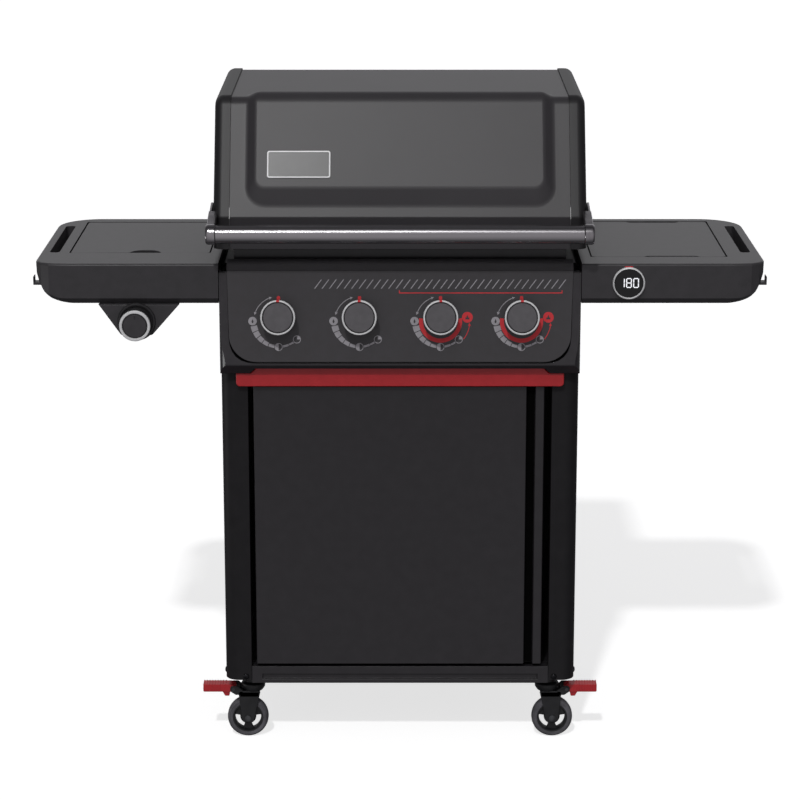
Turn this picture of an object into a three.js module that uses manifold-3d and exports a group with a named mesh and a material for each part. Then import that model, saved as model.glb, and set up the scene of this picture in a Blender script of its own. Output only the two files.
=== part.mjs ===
// Gas barbecue grill: a lidded cook box on a closed cart with four casters, two side
// shelves, a side burner under the left shelf's cover and a slide-out grease tray.
// Millimetres, +Z up. The user stands at -Y and +X is on their right. The origin is on
// the floor, in the middle of the grill's box.

import * as THREE from 'three';
import { mergeVertices } from 'three/addons/utils/BufferGeometryUtils.js';
import Module from 'manifold-3d';

const wasm = await Module();
wasm.setup();

// ---------------------------------------------------------------- driving dimensions

const GAP = 0.3; // clearance between pieces that touch
const CURVE_STEPS = 6; // straight steps in each rounded corner
const LEFT = -1;
const RIGHT = 1;
const SIDES = [['left', LEFT], ['right', RIGHT]];

const CART = {
  halfWidth: 321, front: -220, back: 235, bottom: 124, top: 890, sheet: 1.5,
  cornerRadius: 25, postWidth: 48.5, postReturn: 24, rearFlange: 20,
};
const FLOOR_PAN = { top: 150, halfWidth: CART.halfWidth - CART.sheet - GAP, front: -190 };
const DOOR = { left: -263, right: 259, bottom: 157, top: 681, front: -222, depth: 20, sheet: 1.2 };
const TRAY = { halfWidth: 258, rimHalfWidth: 268, back: 225, bottom: 690, rim: 707, sheet: 1.2 };
const COOK_BOX = { halfWidth: 296, front: -192, back: 226, bottom: 736, top: 926, sheet: 2 };
const BURNER_SPACING = 143.5;
const BURNER = { radius: 12.5, wall: 1.5, z: 806, front: -198, back: 200 };
const HEAT_BAR = { halfWidth: 44, bottom: 826, eaves: 832, ridge: 862, front: -188, back: 222 };
const GRATE = { near: 1.5, far: 292, front: -188, back: 221, bottom: 890 + GAP, top: 905 };
const PANEL = {
  foot: { y: -255, z: 735 }, brow: { y: -230, z: 896 }, crown: { y: -204, z: 911 },
  topHalfWidth: 307, bottomHalfWidth: 302, cornerRadius: 48, sheet: 2,
};
const KNOB = { radius: 31, back: 5, front: 33, socket: 12, stemRadius: 4, z: 814.6 };
const SIDE_KNOB = { x: -467, z: 805, radius: 27.5, back: 5, front: 38, panelY: -240 };
const SHELF = {
  inner: 321.8, outer: 648, front: -235, back: 205, bottom: 836, top: 908, wall: 3,
};
const LID = {
  lipY: -220, lipZ: 932, creaseZ: 989, browY: -120, topZ: 1190, backY: 297,
  seamX: 301, halfWidth: 330, sheet: 2, capProud: 3,
};
const LID_HINGE = { y: 246, z: 934, pinRadius: 4 };
const HANDLE = { y: -282, z: 970, radius: 16, halfLength: 321.5, capRadius: 18, capOuter: 339 };
const CASTER = {
  x: 273, frontY: -175, rearY: 190, wheelRadius: 38, wheelWidth: 24, trail: 10, axleRadius: 4,
};
const PEDAL_PIVOT = { x: 36, z: 95, radius: 3 };

// ------------------------------------------------------------------------ materials

function paint(color, roughness = 0.5, metalness = 0.1) {
  return new THREE.MeshStandardMaterial({ color, roughness, metalness });
}

const FINISH = {
  enamel: () => paint(0x3a393b, 0.35, 0.2),
  powderCoat: () => paint(0x1f1e20, 0.55, 0.2),
  shelf: () => paint(0x333033, 0.5, 0.2),
  fascia: () => paint(0x3b393c, 0.45, 0.2),
  moulding: () => paint(0x2a282b, 0.6, 0),
  red: () => paint(0x9c2126, 0.45, 0),
  stainless: () => paint(0xb9b7b6, 0.25, 0.95),
  castIron: () => paint(0x26272a, 0.7, 0.5),
  aluminium: () => paint(0xa3a1a0, 0.45, 0.8),
  brass: () => paint(0xb08d4e, 0.35, 0.9),
  knob: () => paint(0x4a484b, 0.5, 0),
  display: () => paint(0x0b0b0d, 0.15, 0),
  tyre: () => paint(0x4f4e50, 0.8, 0),
};

// --------------------------------------------------------------- solids and outlines

// A closed geometry as a solid for joining and cutting. Its normals and uvs are dropped so
// that shared corners merge, and an inside-out shape is turned to face outwards.
function toSolid(geometry) {
  const bare = geometry.clone();
  bare.deleteAttribute('normal');
  bare.deleteAttribute('uv');
  const merged = mergeVertices(bare, 1e-4);
  const triVerts = new Uint32Array(merged.index.array);
  const vertProperties = new Float32Array(merged.attributes.position.array);
  const solid = new wasm.Manifold(new wasm.Mesh({ numProp: 3, vertProperties, triVerts }));
  if (solid.volume() > 0) return solid;
  triVerts.reverse();
  return new wasm.Manifold(new wasm.Mesh({ numProp: 3, vertProperties, triVerts }));
}

function toGeometry(solid) {
  const { vertProperties, triVerts } = solid.getMesh();
  const geometry = new THREE.BufferGeometry();
  geometry.setAttribute('position', new THREE.BufferAttribute(vertProperties, 3));
  geometry.setIndex(new THREE.BufferAttribute(triVerts, 1));
  geometry.computeVertexNormals();
  return geometry;
}

function join(...solids) {
  return solids.flat().reduce((whole, piece) => whole.add(piece));
}

// A box between two limits along each axis, given in either order.
function block(xs, ys, zs) {
  const spans = [xs, ys, zs];
  const size = spans.map(([a, b]) => Math.abs(b - a));
  const middle = spans.map(([a, b]) => (a + b) / 2);
  return toSolid(new THREE.BoxGeometry(...size).translate(...middle));
}

// An outline swept along an axis. Its own two coordinates are y,z along 'x', x,z along 'y'
// and x,y along 'z'. A bevel rounds both ends and stays inside the outline.
function sweep(outline, axis, from, to, bevel = 0, segments = 3) {
  const [low, high] = [Math.min(from, to), Math.max(from, to)];
  const geometry = new THREE.ExtrudeGeometry(outline, {
    depth: high - low - 2 * bevel, curveSegments: CURVE_STEPS, bevelEnabled: bevel > 0,
    bevelThickness: bevel, bevelSize: bevel, bevelOffset: -bevel, bevelSegments: segments,
  });
  geometry.translate(0, 0, bevel);
  if (axis === 'x') geometry.rotateY(Math.PI / 2).rotateX(Math.PI / 2).translate(low, 0, 0);
  if (axis === 'y') geometry.rotateX(Math.PI / 2).translate(0, high, 0);
  if (axis === 'z') geometry.translate(0, 0, low);
  return toSolid(geometry);
}

// The corner points of a shape, anticlockwise and with no point twice.
function outlinePoints(shape) {
  const points = shape.getPoints(CURVE_STEPS);
  if (points[0].equals(points.at(-1))) points.pop();
  return THREE.ShapeUtils.isClockWise(points) ? points.reverse() : points;
}

// A solid through a row of outlines with the same number of points, one at each place along x.
function loft(shapes, places) {
  const outlines = shapes.map(outlinePoints);
  const count = outlines[0].length;
  const positions = outlines.flatMap((outline, ring) =>
    outline.flatMap((point) => [places[ring], point.x, point.y]));
  const faces = [];
  for (let ring = 0; ring < outlines.length - 1; ring += 1) {
    for (let point = 0; point < count; point += 1) {
      const [a, b] = [ring * count + point, ring * count + ((point + 1) % count)];
      faces.push(a, b, b + count, a, b + count, a + count);
    }
  }
  const last = (outlines.length - 1) * count;
  for (const [a, b, c] of THREE.ShapeUtils.triangulateShape(outlines[0], [])) {
    faces.push(c, b, a);
  }
  for (const [a, b, c] of THREE.ShapeUtils.triangulateShape(outlines.at(-1), [])) {
    faces.push(last + a, last + b, last + c);
  }
  const geometry = new THREE.BufferGeometry();
  geometry.setAttribute('position', new THREE.Float32BufferAttribute(positions, 3));
  geometry.setIndex(faces);
  return toSolid(geometry);
}

// A shape turned around an axis through a centre. The profile is [radius, height] pairs.
function turn(profile, axis, [x, y, z], segments = 14) {
  const points = profile.map(([radius, height]) => new THREE.Vector2(radius, height));
  const geometry = new THREE.LatheGeometry(points, segments);
  if (axis === 'x') geometry.rotateZ(-Math.PI / 2);
  if (axis === 'z') geometry.rotateX(Math.PI / 2);
  return toSolid(geometry.translate(x, y, z));
}

function rod(radius, axis, centre, from, to, segments = 12) {
  return turn([[0, from], [radius, from], [radius, to], [0, to]], axis, centre, segments);
}

function tube(radius, wall, axis, centre, from, to, segments = 16) {
  const bore = radius - wall;
  const profile = [[bore, from], [radius, from], [radius, to], [bore, to], [bore, from]];
  return turn(profile, axis, centre, segments);
}

// A closed outline through corners [u, v, radius], each rounded by its radius.
function rounded(corners) {
  const shape = new THREE.Shape();
  const count = corners.length;
  corners.forEach(([u, v, radius = 0], index) => {
    const corner = new THREE.Vector2(u, v);
    const before = new THREE.Vector2(...corners[(index + count - 1) % count].slice(0, 2));
    const after = new THREE.Vector2(...corners[(index + 1) % count].slice(0, 2));
    const turnBy = Math.PI - Math.abs(cornerAngle(before, corner, after));
    const reach = radius * Math.tan(turnBy / 2);
    const start = before.sub(corner).setLength(reach).add(corner);
    const end = after.sub(corner).setLength(reach).add(corner);
    if (index === 0) shape.moveTo(start.x, start.y);
    else shape.lineTo(start.x, start.y);
    if (radius > 0) shape.quadraticCurveTo(corner.x, corner.y, end.x, end.y);
  });
  shape.closePath();
  return shape;
}

function cornerAngle(before, corner, after) {
  const back = before.clone().sub(corner);
  const onward = after.clone().sub(corner);
  return Math.atan2(back.cross(onward), back.dot(onward));
}

function rectangle(us, vs, radius = 0) {
  const [u0, u1] = [Math.min(...us), Math.max(...us)];
  const [v0, v1] = [Math.min(...vs), Math.max(...vs)];
  return rounded([[u0, v0, radius], [u1, v0, radius], [u1, v1, radius], [u0, v1, radius]]);
}

// The outline of a bent sheet: a path and the same path moved to its left by the thickness.
function bentSheet(path, thickness) {
  const points = path.map(([u, v]) => new THREE.Vector2(u, v));
  const offset = points.map((point, index) => {
    const before = points[index - 1] ?? point.clone().multiplyScalar(2).sub(points[index + 1]);
    const after = points[index + 1] ?? point.clone().multiplyScalar(2).sub(points[index - 1]);
    const inward = point.clone().sub(before).normalize();
    const outward = after.clone().sub(point).normalize();
    const bisector = inward.clone().add(outward).normalize();
    const mitre = thickness / bisector.dot(inward);
    return new THREE.Vector2(-bisector.y, bisector.x).multiplyScalar(mitre).add(point);
  });
  return new THREE.Shape([...points, ...offset.reverse()]);
}

// Points of a quarter turn about a centre, from one angle to another in degrees.
function arc([u, v], radius, from, to, steps = 4) {
  return Array.from({ length: steps + 1 }, (_, step) => {
    const angle = THREE.MathUtils.degToRad(from + ((to - from) * step) / steps);
    return [u + radius * Math.cos(angle), v + radius * Math.sin(angle)];
  });
}

const grill = new THREE.Group();

function add(name, finish, solid, parent = grill) {
  const mesh = new THREE.Mesh(toGeometry(solid), finish());
  mesh.name = name;
  parent.add(mesh);
  return mesh;
}

// ------------------------------------------------------------------------------ cart

// A side panel is one bent sheet: post return, post face, rounded corner, side and rear
// flange. A ledge inside carries the grease tray and a top flange carries the cook box.
function cartSide(side) {
  const { halfWidth, front, back, sheet, cornerRadius, postWidth, postReturn, rearFlange } = CART;
  const corner = arc([halfWidth - cornerRadius, front + cornerRadius], cornerRadius, -90, 0);
  const path = [
    [halfWidth - postWidth, front + postReturn], [halfWidth - postWidth, front],
    ...corner, [halfWidth, back], [halfWidth - rearFlange, back],
  ].map(([x, y]) => [side * x, y]);
  const panel = sweep(bentSheet(path, side * sheet), 'z', CART.bottom, CART.top);
  const inside = side * (halfWidth - 1);
  const rimRest = TRAY.rim - GAP;
  const trayLedge = block([side * 262, inside], [-190, TRAY.back], [rimRest - sheet, rimRest]);
  const topFlange = block([side * 300, inside], [-150, 200], [CART.top - sheet, CART.top]);
  return join(panel, trayLedge, topFlange);
}

for (const [name, side] of SIDES) add(`cart_side_${name}`, FINISH.powderCoat, cartSide(side));

// The back panel stands between the sides' rear flanges, with a row of air slots.
function backPanel() {
  const { back, sheet, halfWidth, rearFlange } = CART;
  const inside = halfWidth - rearFlange - GAP;
  const [slots, pitch, halfSlot, slotLow, slotHigh] = [9, 50, 16, 600, 608];
  let panel = block([-inside, inside], [back - sheet, back], [FLOOR_PAN.top + GAP, TRAY.bottom]);
  for (let slot = 0; slot < slots; slot += 1) {
    const x = (slot - (slots - 1) / 2) * pitch;
    const airSlot = block([x - halfSlot, x + halfSlot], [back - 5, back + 5], [slotLow, slotHigh]);
    panel = panel.subtract(airSlot);
  }
  return panel;
}
add('cart_back_panel', FINISH.powderCoat, backPanel());

// The floor is a shallow pan upside down, with a mounting plate for a caster at each corner.
function floorPan() {
  const { top, halfWidth, front } = FLOOR_PAN;
  const back = CART.back - CART.sheet - GAP;
  const sheet = CART.sheet;
  const pan = block([-halfWidth, halfWidth], [front, back], [CART.bottom, top]);
  const insideX = halfWidth - sheet;
  const inside = block([-insideX, insideX], [front + sheet, back - sheet], [0, top - sheet]);
  const plate = { inner: 236, frontDepth: 62, rearDepth: 78, thickness: 3 };
  const plates = SIDES.flatMap(([, side]) => {
    const xs = [side * plate.inner, side * (halfWidth - 0.5)];
    const zs = [CART.bottom - plate.thickness, CART.bottom + 1];
    return [
      block(xs, [front + 0.5, front + plate.frontDepth], zs),
      block(xs, [back - plate.rearDepth, back - 0.5], zs),
    ];
  });
  return join(pan.subtract(inside), plates);
}
add('cart_floor_panel', FINISH.powderCoat, floorPan());

// The bottom rail is a channel between the posts with a long groove pressed into its face.
function bottomRail() {
  const [halfWidth, face, flange] = [272, CART.front + 0.5, 24];
  const [bottom, top, sheet] = [118, 150.3, CART.sheet];
  const [grooveHalf, grooveLow, grooveHigh, depth] = [253, 126.9, 134.7, 4];
  const channel = bentSheet(
    [[face + flange, top], [face, top], [face, bottom], [face + flange, bottom]], sheet,
  );
  const pocket = block(
    [-grooveHalf - sheet, grooveHalf + sheet], [face + 1, face + depth + sheet],
    [grooveLow - sheet, grooveHigh + sheet],
  );
  const groove = block([-grooveHalf, grooveHalf], [face - 1, face + depth], [grooveLow, grooveHigh]);
  return sweep(channel, 'x', -halfWidth, halfWidth).add(pocket).subtract(groove);
}
add('front_bottom_rail', FINISH.powderCoat, bottomRail());

// The top rail is an angle between the posts, above the grease tray's way out.
const topRailOutline = bentSheet([[-192, 724], [-217, 724], [-217, 733]], -CART.sheet);
add('front_top_rail', FINISH.powderCoat, sweep(topRailOutline, 'x', -272, 272));

// The door is a pan open to the rear, with a full-height finger channel near its free edge
// and a hinge barrel at the top and bottom of its left edge.
function door() {
  const { left, right, bottom, top, front, depth, sheet } = DOOR;
  const [channelLeft, channelRight, channelDepth] = [227, 243, 11];
  const pan = block([left, right], [front, front + depth], [bottom, top]);
  const hollow = block(
    [left + sheet, right - sheet], [front + sheet, front + depth + 1], [bottom + sheet, top - sheet],
  );
  const channelWall = block(
    [channelLeft - sheet, channelRight + sheet], [front, front + channelDepth + sheet], [bottom, top],
  );
  const channel = block(
    [channelLeft, channelRight], [front - 1, front + channelDepth], [bottom - 1, top + 1],
  );
  return pan.subtract(hollow).add(channelWall).subtract(channel);
}
add('door', FINISH.powderCoat, door());

// -------------------------------------------------------------------------- grease tray

function trayPan() {
  const { halfWidth, rimHalfWidth, back, bottom, rim, sheet } = TRAY;
  const front = CART.front - 0.5;
  const pan = block([-halfWidth, halfWidth], [front, back], [bottom, rim + sheet]);
  const insideX = halfWidth - sheet;
  const hollow = block(
    [-insideX, insideX], [front + sheet, back - sheet], [bottom + sheet, rim + 20],
  );
  const rims = SIDES.map(([, side]) => block(
    [side * (halfWidth - 1), side * rimHalfWidth], [-190, back], [rim, rim + sheet],
  ));
  return join(pan.subtract(hollow), rims);
}
add('grease_tray', FINISH.aluminium, trayPan());

// The red front is higher in the middle, between the feet of the panel surround.
const trayFrontOutline = rounded([
  [-293, 684, 7], [293, 684, 7], [293, 709, 2], [266, 709, 4], [256, 719, 4],
  [-256, 719, 4], [-266, 709, 4], [-293, 709, 2],
]);
const TRAY_FRONT = { front: -232, back: CART.front - 0.5 - GAP };
const trayFront = sweep(trayFrontOutline, 'y', TRAY_FRONT.front, TRAY_FRONT.back, 1.5, 2);
add('grease_tray_front', FINISH.red, trayFront);

// ----------------------------------------------------------------------------- cook box

const burnerXs = [-1.5, -0.5, 0.5, 1.5].map((place) => place * BURNER_SPACING);

// Four walls, open above and below, with inside ledges front and rear for the burners, heat
// bars and grates, outside ledges that rest on the cart, and ears with the lid's hinge pins.
function cookBox() {
  const { halfWidth, front, back, bottom, top, sheet } = COOK_BOX;
  const [insideX, insideFront, insideBack] = [halfWidth - sheet, front + sheet, back - sheet];
  const outer = block([-halfWidth, halfWidth], [front, back], [bottom, top]);
  const cavity = block([-insideX, insideX], [insideFront, insideBack], [bottom - 1, top + 1]);
  const frontLedge = (depth, z) => block(
    [-insideX - 1, insideX + 1], [insideFront - 1, insideFront + depth], [z - sheet, z],
  );
  const backLedge = (depth, z) => block(
    [-insideX - 1, insideX + 1], [insideBack - depth, insideBack + 1], [z - sheet, z],
  );
  const heatBarRest = HEAT_BAR.bottom - GAP;
  const grateRest = GRATE.bottom - GAP;
  const ledges = [
    frontLedge(12, heatBarRest), backLedge(12, heatBarRest), frontLedge(16, grateRest),
    backLedge(16, grateRest), backLedge(30, BURNER.z - BURNER.radius - GAP),
  ];
  const rest = CART.top + GAP;
  const outside = SIDES.flatMap(([, side]) => [
    block([side * insideX, side * 316], [-146, 196], [rest, rest + sheet]),
    block([side * 284, side * 288], [back - 1, LID_HINGE.y + 8], [898, LID_HINGE.z + 8]),
    rod(LID_HINGE.pinRadius, 'x', [0, LID_HINGE.y, LID_HINGE.z], side * 287, side * 313),
  ]);
  const holes = burnerXs.map((x) =>
    rod(BURNER.radius + 1.5, 'y', [x, 0, BURNER.z], front - 5, front + 8));
  return join(outer.subtract(cavity), ledges, outside).subtract(join(holes));
}
add('cook_box', FINISH.enamel, cookBox());

// A burner is a tube with a closed rear end.
function burnerTube(x) {
  const { radius, wall, front, back, z } = BURNER;
  const bore = radius - wall;
  return turn([
    [bore, front], [radius, front], [radius, back], [0, back], [0, back - wall],
    [bore, back - wall], [bore, front],
  ], 'y', [x, 0, z], 14);
}

// A heat bar is a sheet folded to a roof over its burner.
function heatBar(x) {
  const { halfWidth, bottom, eaves, ridge, front, back } = HEAT_BAR;
  const roof = bentSheet([
    [x - halfWidth, bottom], [x - halfWidth, eaves], [x, ridge],
    [x + halfWidth, eaves], [x + halfWidth, bottom],
  ], -CART.sheet);
  return sweep(roof, 'y', front, back);
}

burnerXs.forEach((x, index) => {
  add(`burner_tube_${index + 1}`, FINISH.stainless, burnerTube(x));
  add(`heat_bar_${index + 1}`, FINISH.stainless, heatBar(x));
});

// A grate half: a frame with bars running front to back.
function cookingGrate(side) {
  const { near, far, front, back, bottom, top } = GRATE;
  const [barWidth, bars] = [9, 10];
  const pitch = (far - near - barWidth) / (bars - 1);
  const runs = Array.from({ length: bars }, (_, bar) => {
    const x = near + bar * pitch;
    return block([side * x, side * (x + barWidth)], [front, back], [bottom, top]);
  });
  const ties = [front, (front + back - barWidth) / 2, back - barWidth].map((y) =>
    block([side * near, side * far], [y, y + barWidth], [bottom, top - 2]));
  return join(runs, ties);
}
for (const [name, side] of SIDES) add(`cooking_grate_${name}`, FINISH.castIron, cookingGrate(side));

// The warming rack stands on the cook box's side walls on two bent legs.
function warmingRack() {
  const [front, back, z, wire, halfWidth] = [60, 190, 1000, 5, 298];
  const [crossWires, crossPitch, crossWire] = [13, 44, 3];
  const foot = COOK_BOX.top + GAP;
  const rails = [front, back - wire].map((y) =>
    block([-halfWidth, halfWidth], [y, y + wire], [z - wire, z]));
  const crosses = Array.from({ length: crossWires }, (_, index) => {
    const x = (index - (crossWires - 1) / 2) * crossPitch;
    return block([x - crossWire / 2, x + crossWire / 2], [front + 1, back - 1], [z - crossWire, z]);
  });
  const ends = SIDES.flatMap(([, side]) => {
    const xs = [side * (halfWidth - wire), side * halfWidth];
    return [
      block(xs, [front, front + wire], [foot, z]), block(xs, [back - wire, back], [foot, z]),
      block(xs, [front, back], [foot, foot + 4]),
    ];
  });
  return join(rails, crosses, ends);
}
add('warming_rack', FINISH.stainless, warmingRack());

// ------------------------------------------------------------------------- control panel

const lean = Math.atan2(PANEL.brow.y - PANEL.foot.y, PANEL.brow.z - PANEL.foot.z);

// The frame of one control: its origin on the panel's face and its +Z out of the panel.
function controlFrame(x, z) {
  const slope = (PANEL.brow.y - PANEL.foot.y) / (PANEL.brow.z - PANEL.foot.z);
  const frame = new THREE.Group();
  frame.position.set(x, PANEL.foot.y + slope * (z - PANEL.foot.z), z);
  frame.rotation.x = Math.PI / 2 - lean;
  grill.add(frame);
  return frame;
}

function placed(solid, frame) {
  frame.updateMatrixWorld(true);
  return toSolid(toGeometry(solid).applyMatrix4(frame.matrixWorld));
}

// Front outline of the panel, grown by a margin for the opening that it sits in.
function panelOutline(margin, top) {
  const { topHalfWidth, bottomHalfWidth, cornerRadius, foot } = PANEL;
  const [wide, narrow] = [topHalfWidth + margin, bottomHalfWidth + margin];
  const low = foot.z - 3 - margin;
  return rounded([
    [-narrow, low, cornerRadius], [narrow, low, cornerRadius], [wide, top, 2], [-wide, top, 2],
  ]);
}

const knobFrames = burnerXs.map((x) => controlFrame(x, KNOB.z));

function controlPanel() {
  const { foot, brow, crown, sheet } = PANEL;
  const path = [
    [foot.y + 12, foot.z - 3], [foot.y, foot.z], [brow.y, brow.z],
    [brow.y + 9, crown.z - 3], [crown.y, crown.z],
  ];
  const face = sweep(bentSheet(path, -sheet), 'x', -PANEL.topHalfWidth, PANEL.topHalfWidth);
  const trimmed = face.intersect(sweep(panelOutline(0, 920), 'y', -300, -150));
  const stemHole = rod(KNOB.stemRadius + 2, 'z', [0, 0, 0], -12, 12);
  return trimmed.subtract(join(knobFrames.map((frame) => placed(stemHole, frame))));
}
add('control_panel', FINISH.fascia, controlPanel());

// The surround is a moulded frame in front of the posts. Its feet come down over the ends
// of the tray's red front and leave the tray free to slide out between them.
function panelSurround() {
  const back = CART.front - GAP;
  const side = (inset) => rounded([
    [back + 1, 709], [-236 + inset, 709, 4], [-252 + inset, 728, 6],
    [-228 + inset, 893 - inset, 5], [back + 1, 893 - inset],
  ]);
  const plan = (inset) => {
    const [x, y, radius] = [CART.halfWidth - inset, -254 + inset, 24 - inset];
    return rounded([[-x, back + 1], [-x, y, radius], [x, y, radius], [x, back + 1]]);
  };
  const form = (inset) =>
    sweep(side(inset), 'x', -330, 330).intersect(sweep(plan(inset), 'z', 700, 900));
  const wall = 3;
  const hollow = join(form(wall), block([-318, 318], [-234, back + 2], [705, 715]));
  const window = sweep(panelOutline(0.8, 930), 'y', -300, -150);
  const trayWayOutline = rounded([
    [-268, 700], [268, 700], [268, 710], [258, 720.5], [-258, 720.5], [-268, 710],
  ]);
  const trayWay = sweep(trayWayOutline, 'y', -300, -150);
  const trim = block([-400, 400], [back, back + 10], [650, 950]);
  return form(0).subtract(join(hollow, window, trayWay, trim));
}
add('panel_surround', FINISH.moulding, panelSurround());

// Manifold pipe, a valve body behind each control with a bore for its stem, and a jet that
// points into each burner.
function gasManifold() {
  const pipe = rod(9, 'x', [0, -206, 789], -262, 262);
  const inlet = rod(7, 'z', [255, -206, 0], 752, 790);
  const valves = knobFrames.map((frame) => {
    const body = block([-13, 13], [-17, 13], [-34, -8]);
    const jet = rod(4, 'z', [0, 0, 0], -54, -33, 12);
    const bore = rod(KNOB.stemRadius + 0.2, 'z', [0, 0, 0], -29, 0);
    const whole = placed(join(body, jet), frame);
    return { whole, bore: placed(bore, frame) };
  });
  const bores = join(valves.map((valve) => valve.bore));
  return join(pipe, inlet, valves.map((valve) => valve.whole)).subtract(bores);
}
add('gas_manifold', FINISH.brass, gasManifold());

// A knob is a plain drum with a blind hole for its stem. It is pushed and turned.
function knobBody(radius, back, front) {
  const hole = KNOB.stemRadius + 0.1;
  return turn([
    [hole, back], [radius - 2, back], [radius, back + 3], [radius, front - 2], [radius - 2, front],
    [0, front], [0, back + KNOB.socket], [hole, back + KNOB.socket], [hole, back],
  ], 'z', [0, 0, 0], 20);
}

function valveStem(back, front) {
  return rod(KNOB.stemRadius, 'z', [0, 0, 0], back, front, 12);
}

knobFrames.forEach((frame, index) => {
  const stem = valveStem(-23, KNOB.back + KNOB.socket - GAP);
  add(`valve_stem_${index + 1}`, FINISH.brass, stem, frame);
  add(`knob_${index + 1}`, FINISH.knob, knobBody(KNOB.radius, KNOB.back, KNOB.front), frame);
});

// ------------------------------------------------------------------------------ shelves

// Where a cover or insert lies in a shelf's top: [nearest, farthest] from the middle.
const COVER = {
  inner: 342, outer: 595, front: -132, back: 169, z: 907.7, skirt: 9.7, sheet: 1.5, rest: 890,
};
const INSERT = { inner: 342, outer: 585, front: -169, back: 176, top: 907.7, bottom: 903 };
const SLOT = { inner: 614, outer: 632, front: -130, back: 128 };
const REVEAL = 1.2; // gap round a cover that lies flush in a shelf

function shelfPlan(side, inset) {
  const { inner, outer, front, back } = SHELF;
  return rounded([
    [side * (inner + inset), front + inset], [side * (outer - inset), front + inset, 42 - inset],
    [side * (outer - inset), back - inset, 78 - inset], [side * (inner + inset), back - inset],
  ]);
}

// Front view of a shelf: its underside sweeps up to the outer end. Inset, it is the outline
// of the hollow, which is open below as far as the sweep.
function shelfFront(side, inset) {
  const { inner, outer, bottom, top } = SHELF;
  const low = inset > 0 ? bottom - 40 : bottom;
  const x = (value) => side * (value - inset);
  const shape = new THREE.Shape();
  shape.moveTo(x(inner - 10), low);
  shape.lineTo(x(583), low);
  shape.lineTo(x(583), bottom);
  shape.bezierCurveTo(x(622), bottom + 5, x(642), bottom + 14, x(outer), bottom + 60);
  shape.lineTo(x(outer), top);
  shape.lineTo(x(inner - 10), top);
  shape.closePath();
  return shape;
}

// A shelf is a shell open below with a recess in its top for a cover or insert, a slot near
// its outer end to hang towels from, and a small tool hook outside its front corner.
function shelf(side, recess, recessFloor) {
  const { front, back, top, wall, outer } = SHELF;
  const form = sweep(shelfPlan(side, 0), 'z', 800, top)
    .intersect(sweep(shelfFront(side, 0), 'y', front - 1, back + 1));
  const hollow = sweep(shelfPlan(side, wall), 'z', 790, top - wall)
    .intersect(sweep(shelfFront(side, wall), 'y', front - 1, back + 1));
  const opening = (grow, low) => block(
    [side * (recess.inner - grow), side * (recess.outer + grow)],
    [recess.front - grow, recess.back + grow], [low, top + 1],
  );
  const trough = opening(REVEAL + 2, recessFloor - 2).intersect(form);
  const inside = opening(REVEAL, recessFloor);
  const well = opening(-12, 0);
  const slotOutline = rectangle([side * SLOT.inner, side * SLOT.outer], [SLOT.front, SLOT.back], 7);
  const slot = sweep(slotOutline, 'z', 790, top + 1);
  const hook = rounded([
    [side * (outer - 11), 866], [side * (outer + 3.5), 866, 1], [side * (outer + 3.5), 881],
    [side * (outer + 1.8), 881], [side * (outer + 1.8), 871], [side * (outer - 11), 871],
  ]);
  const body = form.subtract(hollow).add(trough).subtract(join(inside, well, slot));
  return body.add(sweep(hook, 'y', -215, -195));
}

add('left_shelf', FINISH.shelf, shelf(LEFT, COVER, COVER.rest));
add('right_shelf', FINISH.shelf, shelf(RIGHT, INSERT, INSERT.bottom - GAP));

// The right insert lifts out by a finger slot at its front and rear edges.
function shelfInsert() {
  const { inner, outer, front, back, top, bottom } = INSERT;
  const plate = sweep(rectangle([inner, outer], [front, back], 8), 'z', bottom, top);
  const frontSlot = block([437, 537], [front - 1, front + 8], [bottom - 1, top + 1]);
  const backSlot = block([432, 532], [back - 8, back + 1], [bottom - 1, top + 1]);
  return plate.subtract(join(frontSlot, backSlot));
}
add('right_shelf_insert', FINISH.shelf, shelfInsert());

// ------------------------------------------------------------------------- side burner

const SIDE_BURNER = { x: -468.5, y: 18 };

function coverPan() {
  const { inner, outer, front, back, z, skirt, sheet } = COVER;
  const outline = rectangle([-inner, -outer], [front, back], 8);
  const low = z - skirt;
  const pan = sweep(outline, 'z', low, z);
  const hollow = block(
    [-inner - sheet, -outer + sheet], [front + sheet, back - sheet], [low - 1, z - sheet],
  );
  const notchRadius = 28;
  const notchCentre = [-459, front - 2, 0];
  const notchWall = rod(notchRadius + sheet, 'z', notchCentre, low, z, 24).intersect(pan);
  const notch = rod(notchRadius, 'z', notchCentre, low - 1, z + 1, 24);
  return pan.subtract(hollow).add(notchWall).subtract(notch);
}
add('side_burner_lid', FINISH.shelf, coverPan());

function burnerBowl() {
  const [rimZ, floorZ, sheet] = [COVER.rest + GAP, 856, 1.5];
  const plan = (inset) => rectangle([-570 + inset, -367 - inset], [-106 + inset, 143 - inset], 14 - inset);
  const bowl = sweep(plan(0), 'z', floorZ, rimZ + sheet);
  const hollow = sweep(plan(sheet), 'z', floorZ + sheet, rimZ + 9);
  const flange = block([-594, -343], [-131, 168], [rimZ, rimZ + sheet]);
  const throat = rod(17, 'z', [SIDE_BURNER.x, SIDE_BURNER.y, 0], floorZ - 2, floorZ + 5);
  return bowl.add(flange).subtract(join(hollow, throat));
}
add('side_burner_bowl', FINISH.enamel, burnerBowl());

// The burner head stands on the bowl's floor with its throat through it.
const headProfile = [
  [11, 846], [15, 846], [15, 857.8], [42, 857.8], [46, 864], [46, 872], [40, 878], [0, 880],
  [0, 876], [11, 872], [11, 846],
];
add('side_burner_head', FINISH.aluminium, turn(headProfile, 'z', [SIDE_BURNER.x, SIDE_BURNER.y, 0], 18));

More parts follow.
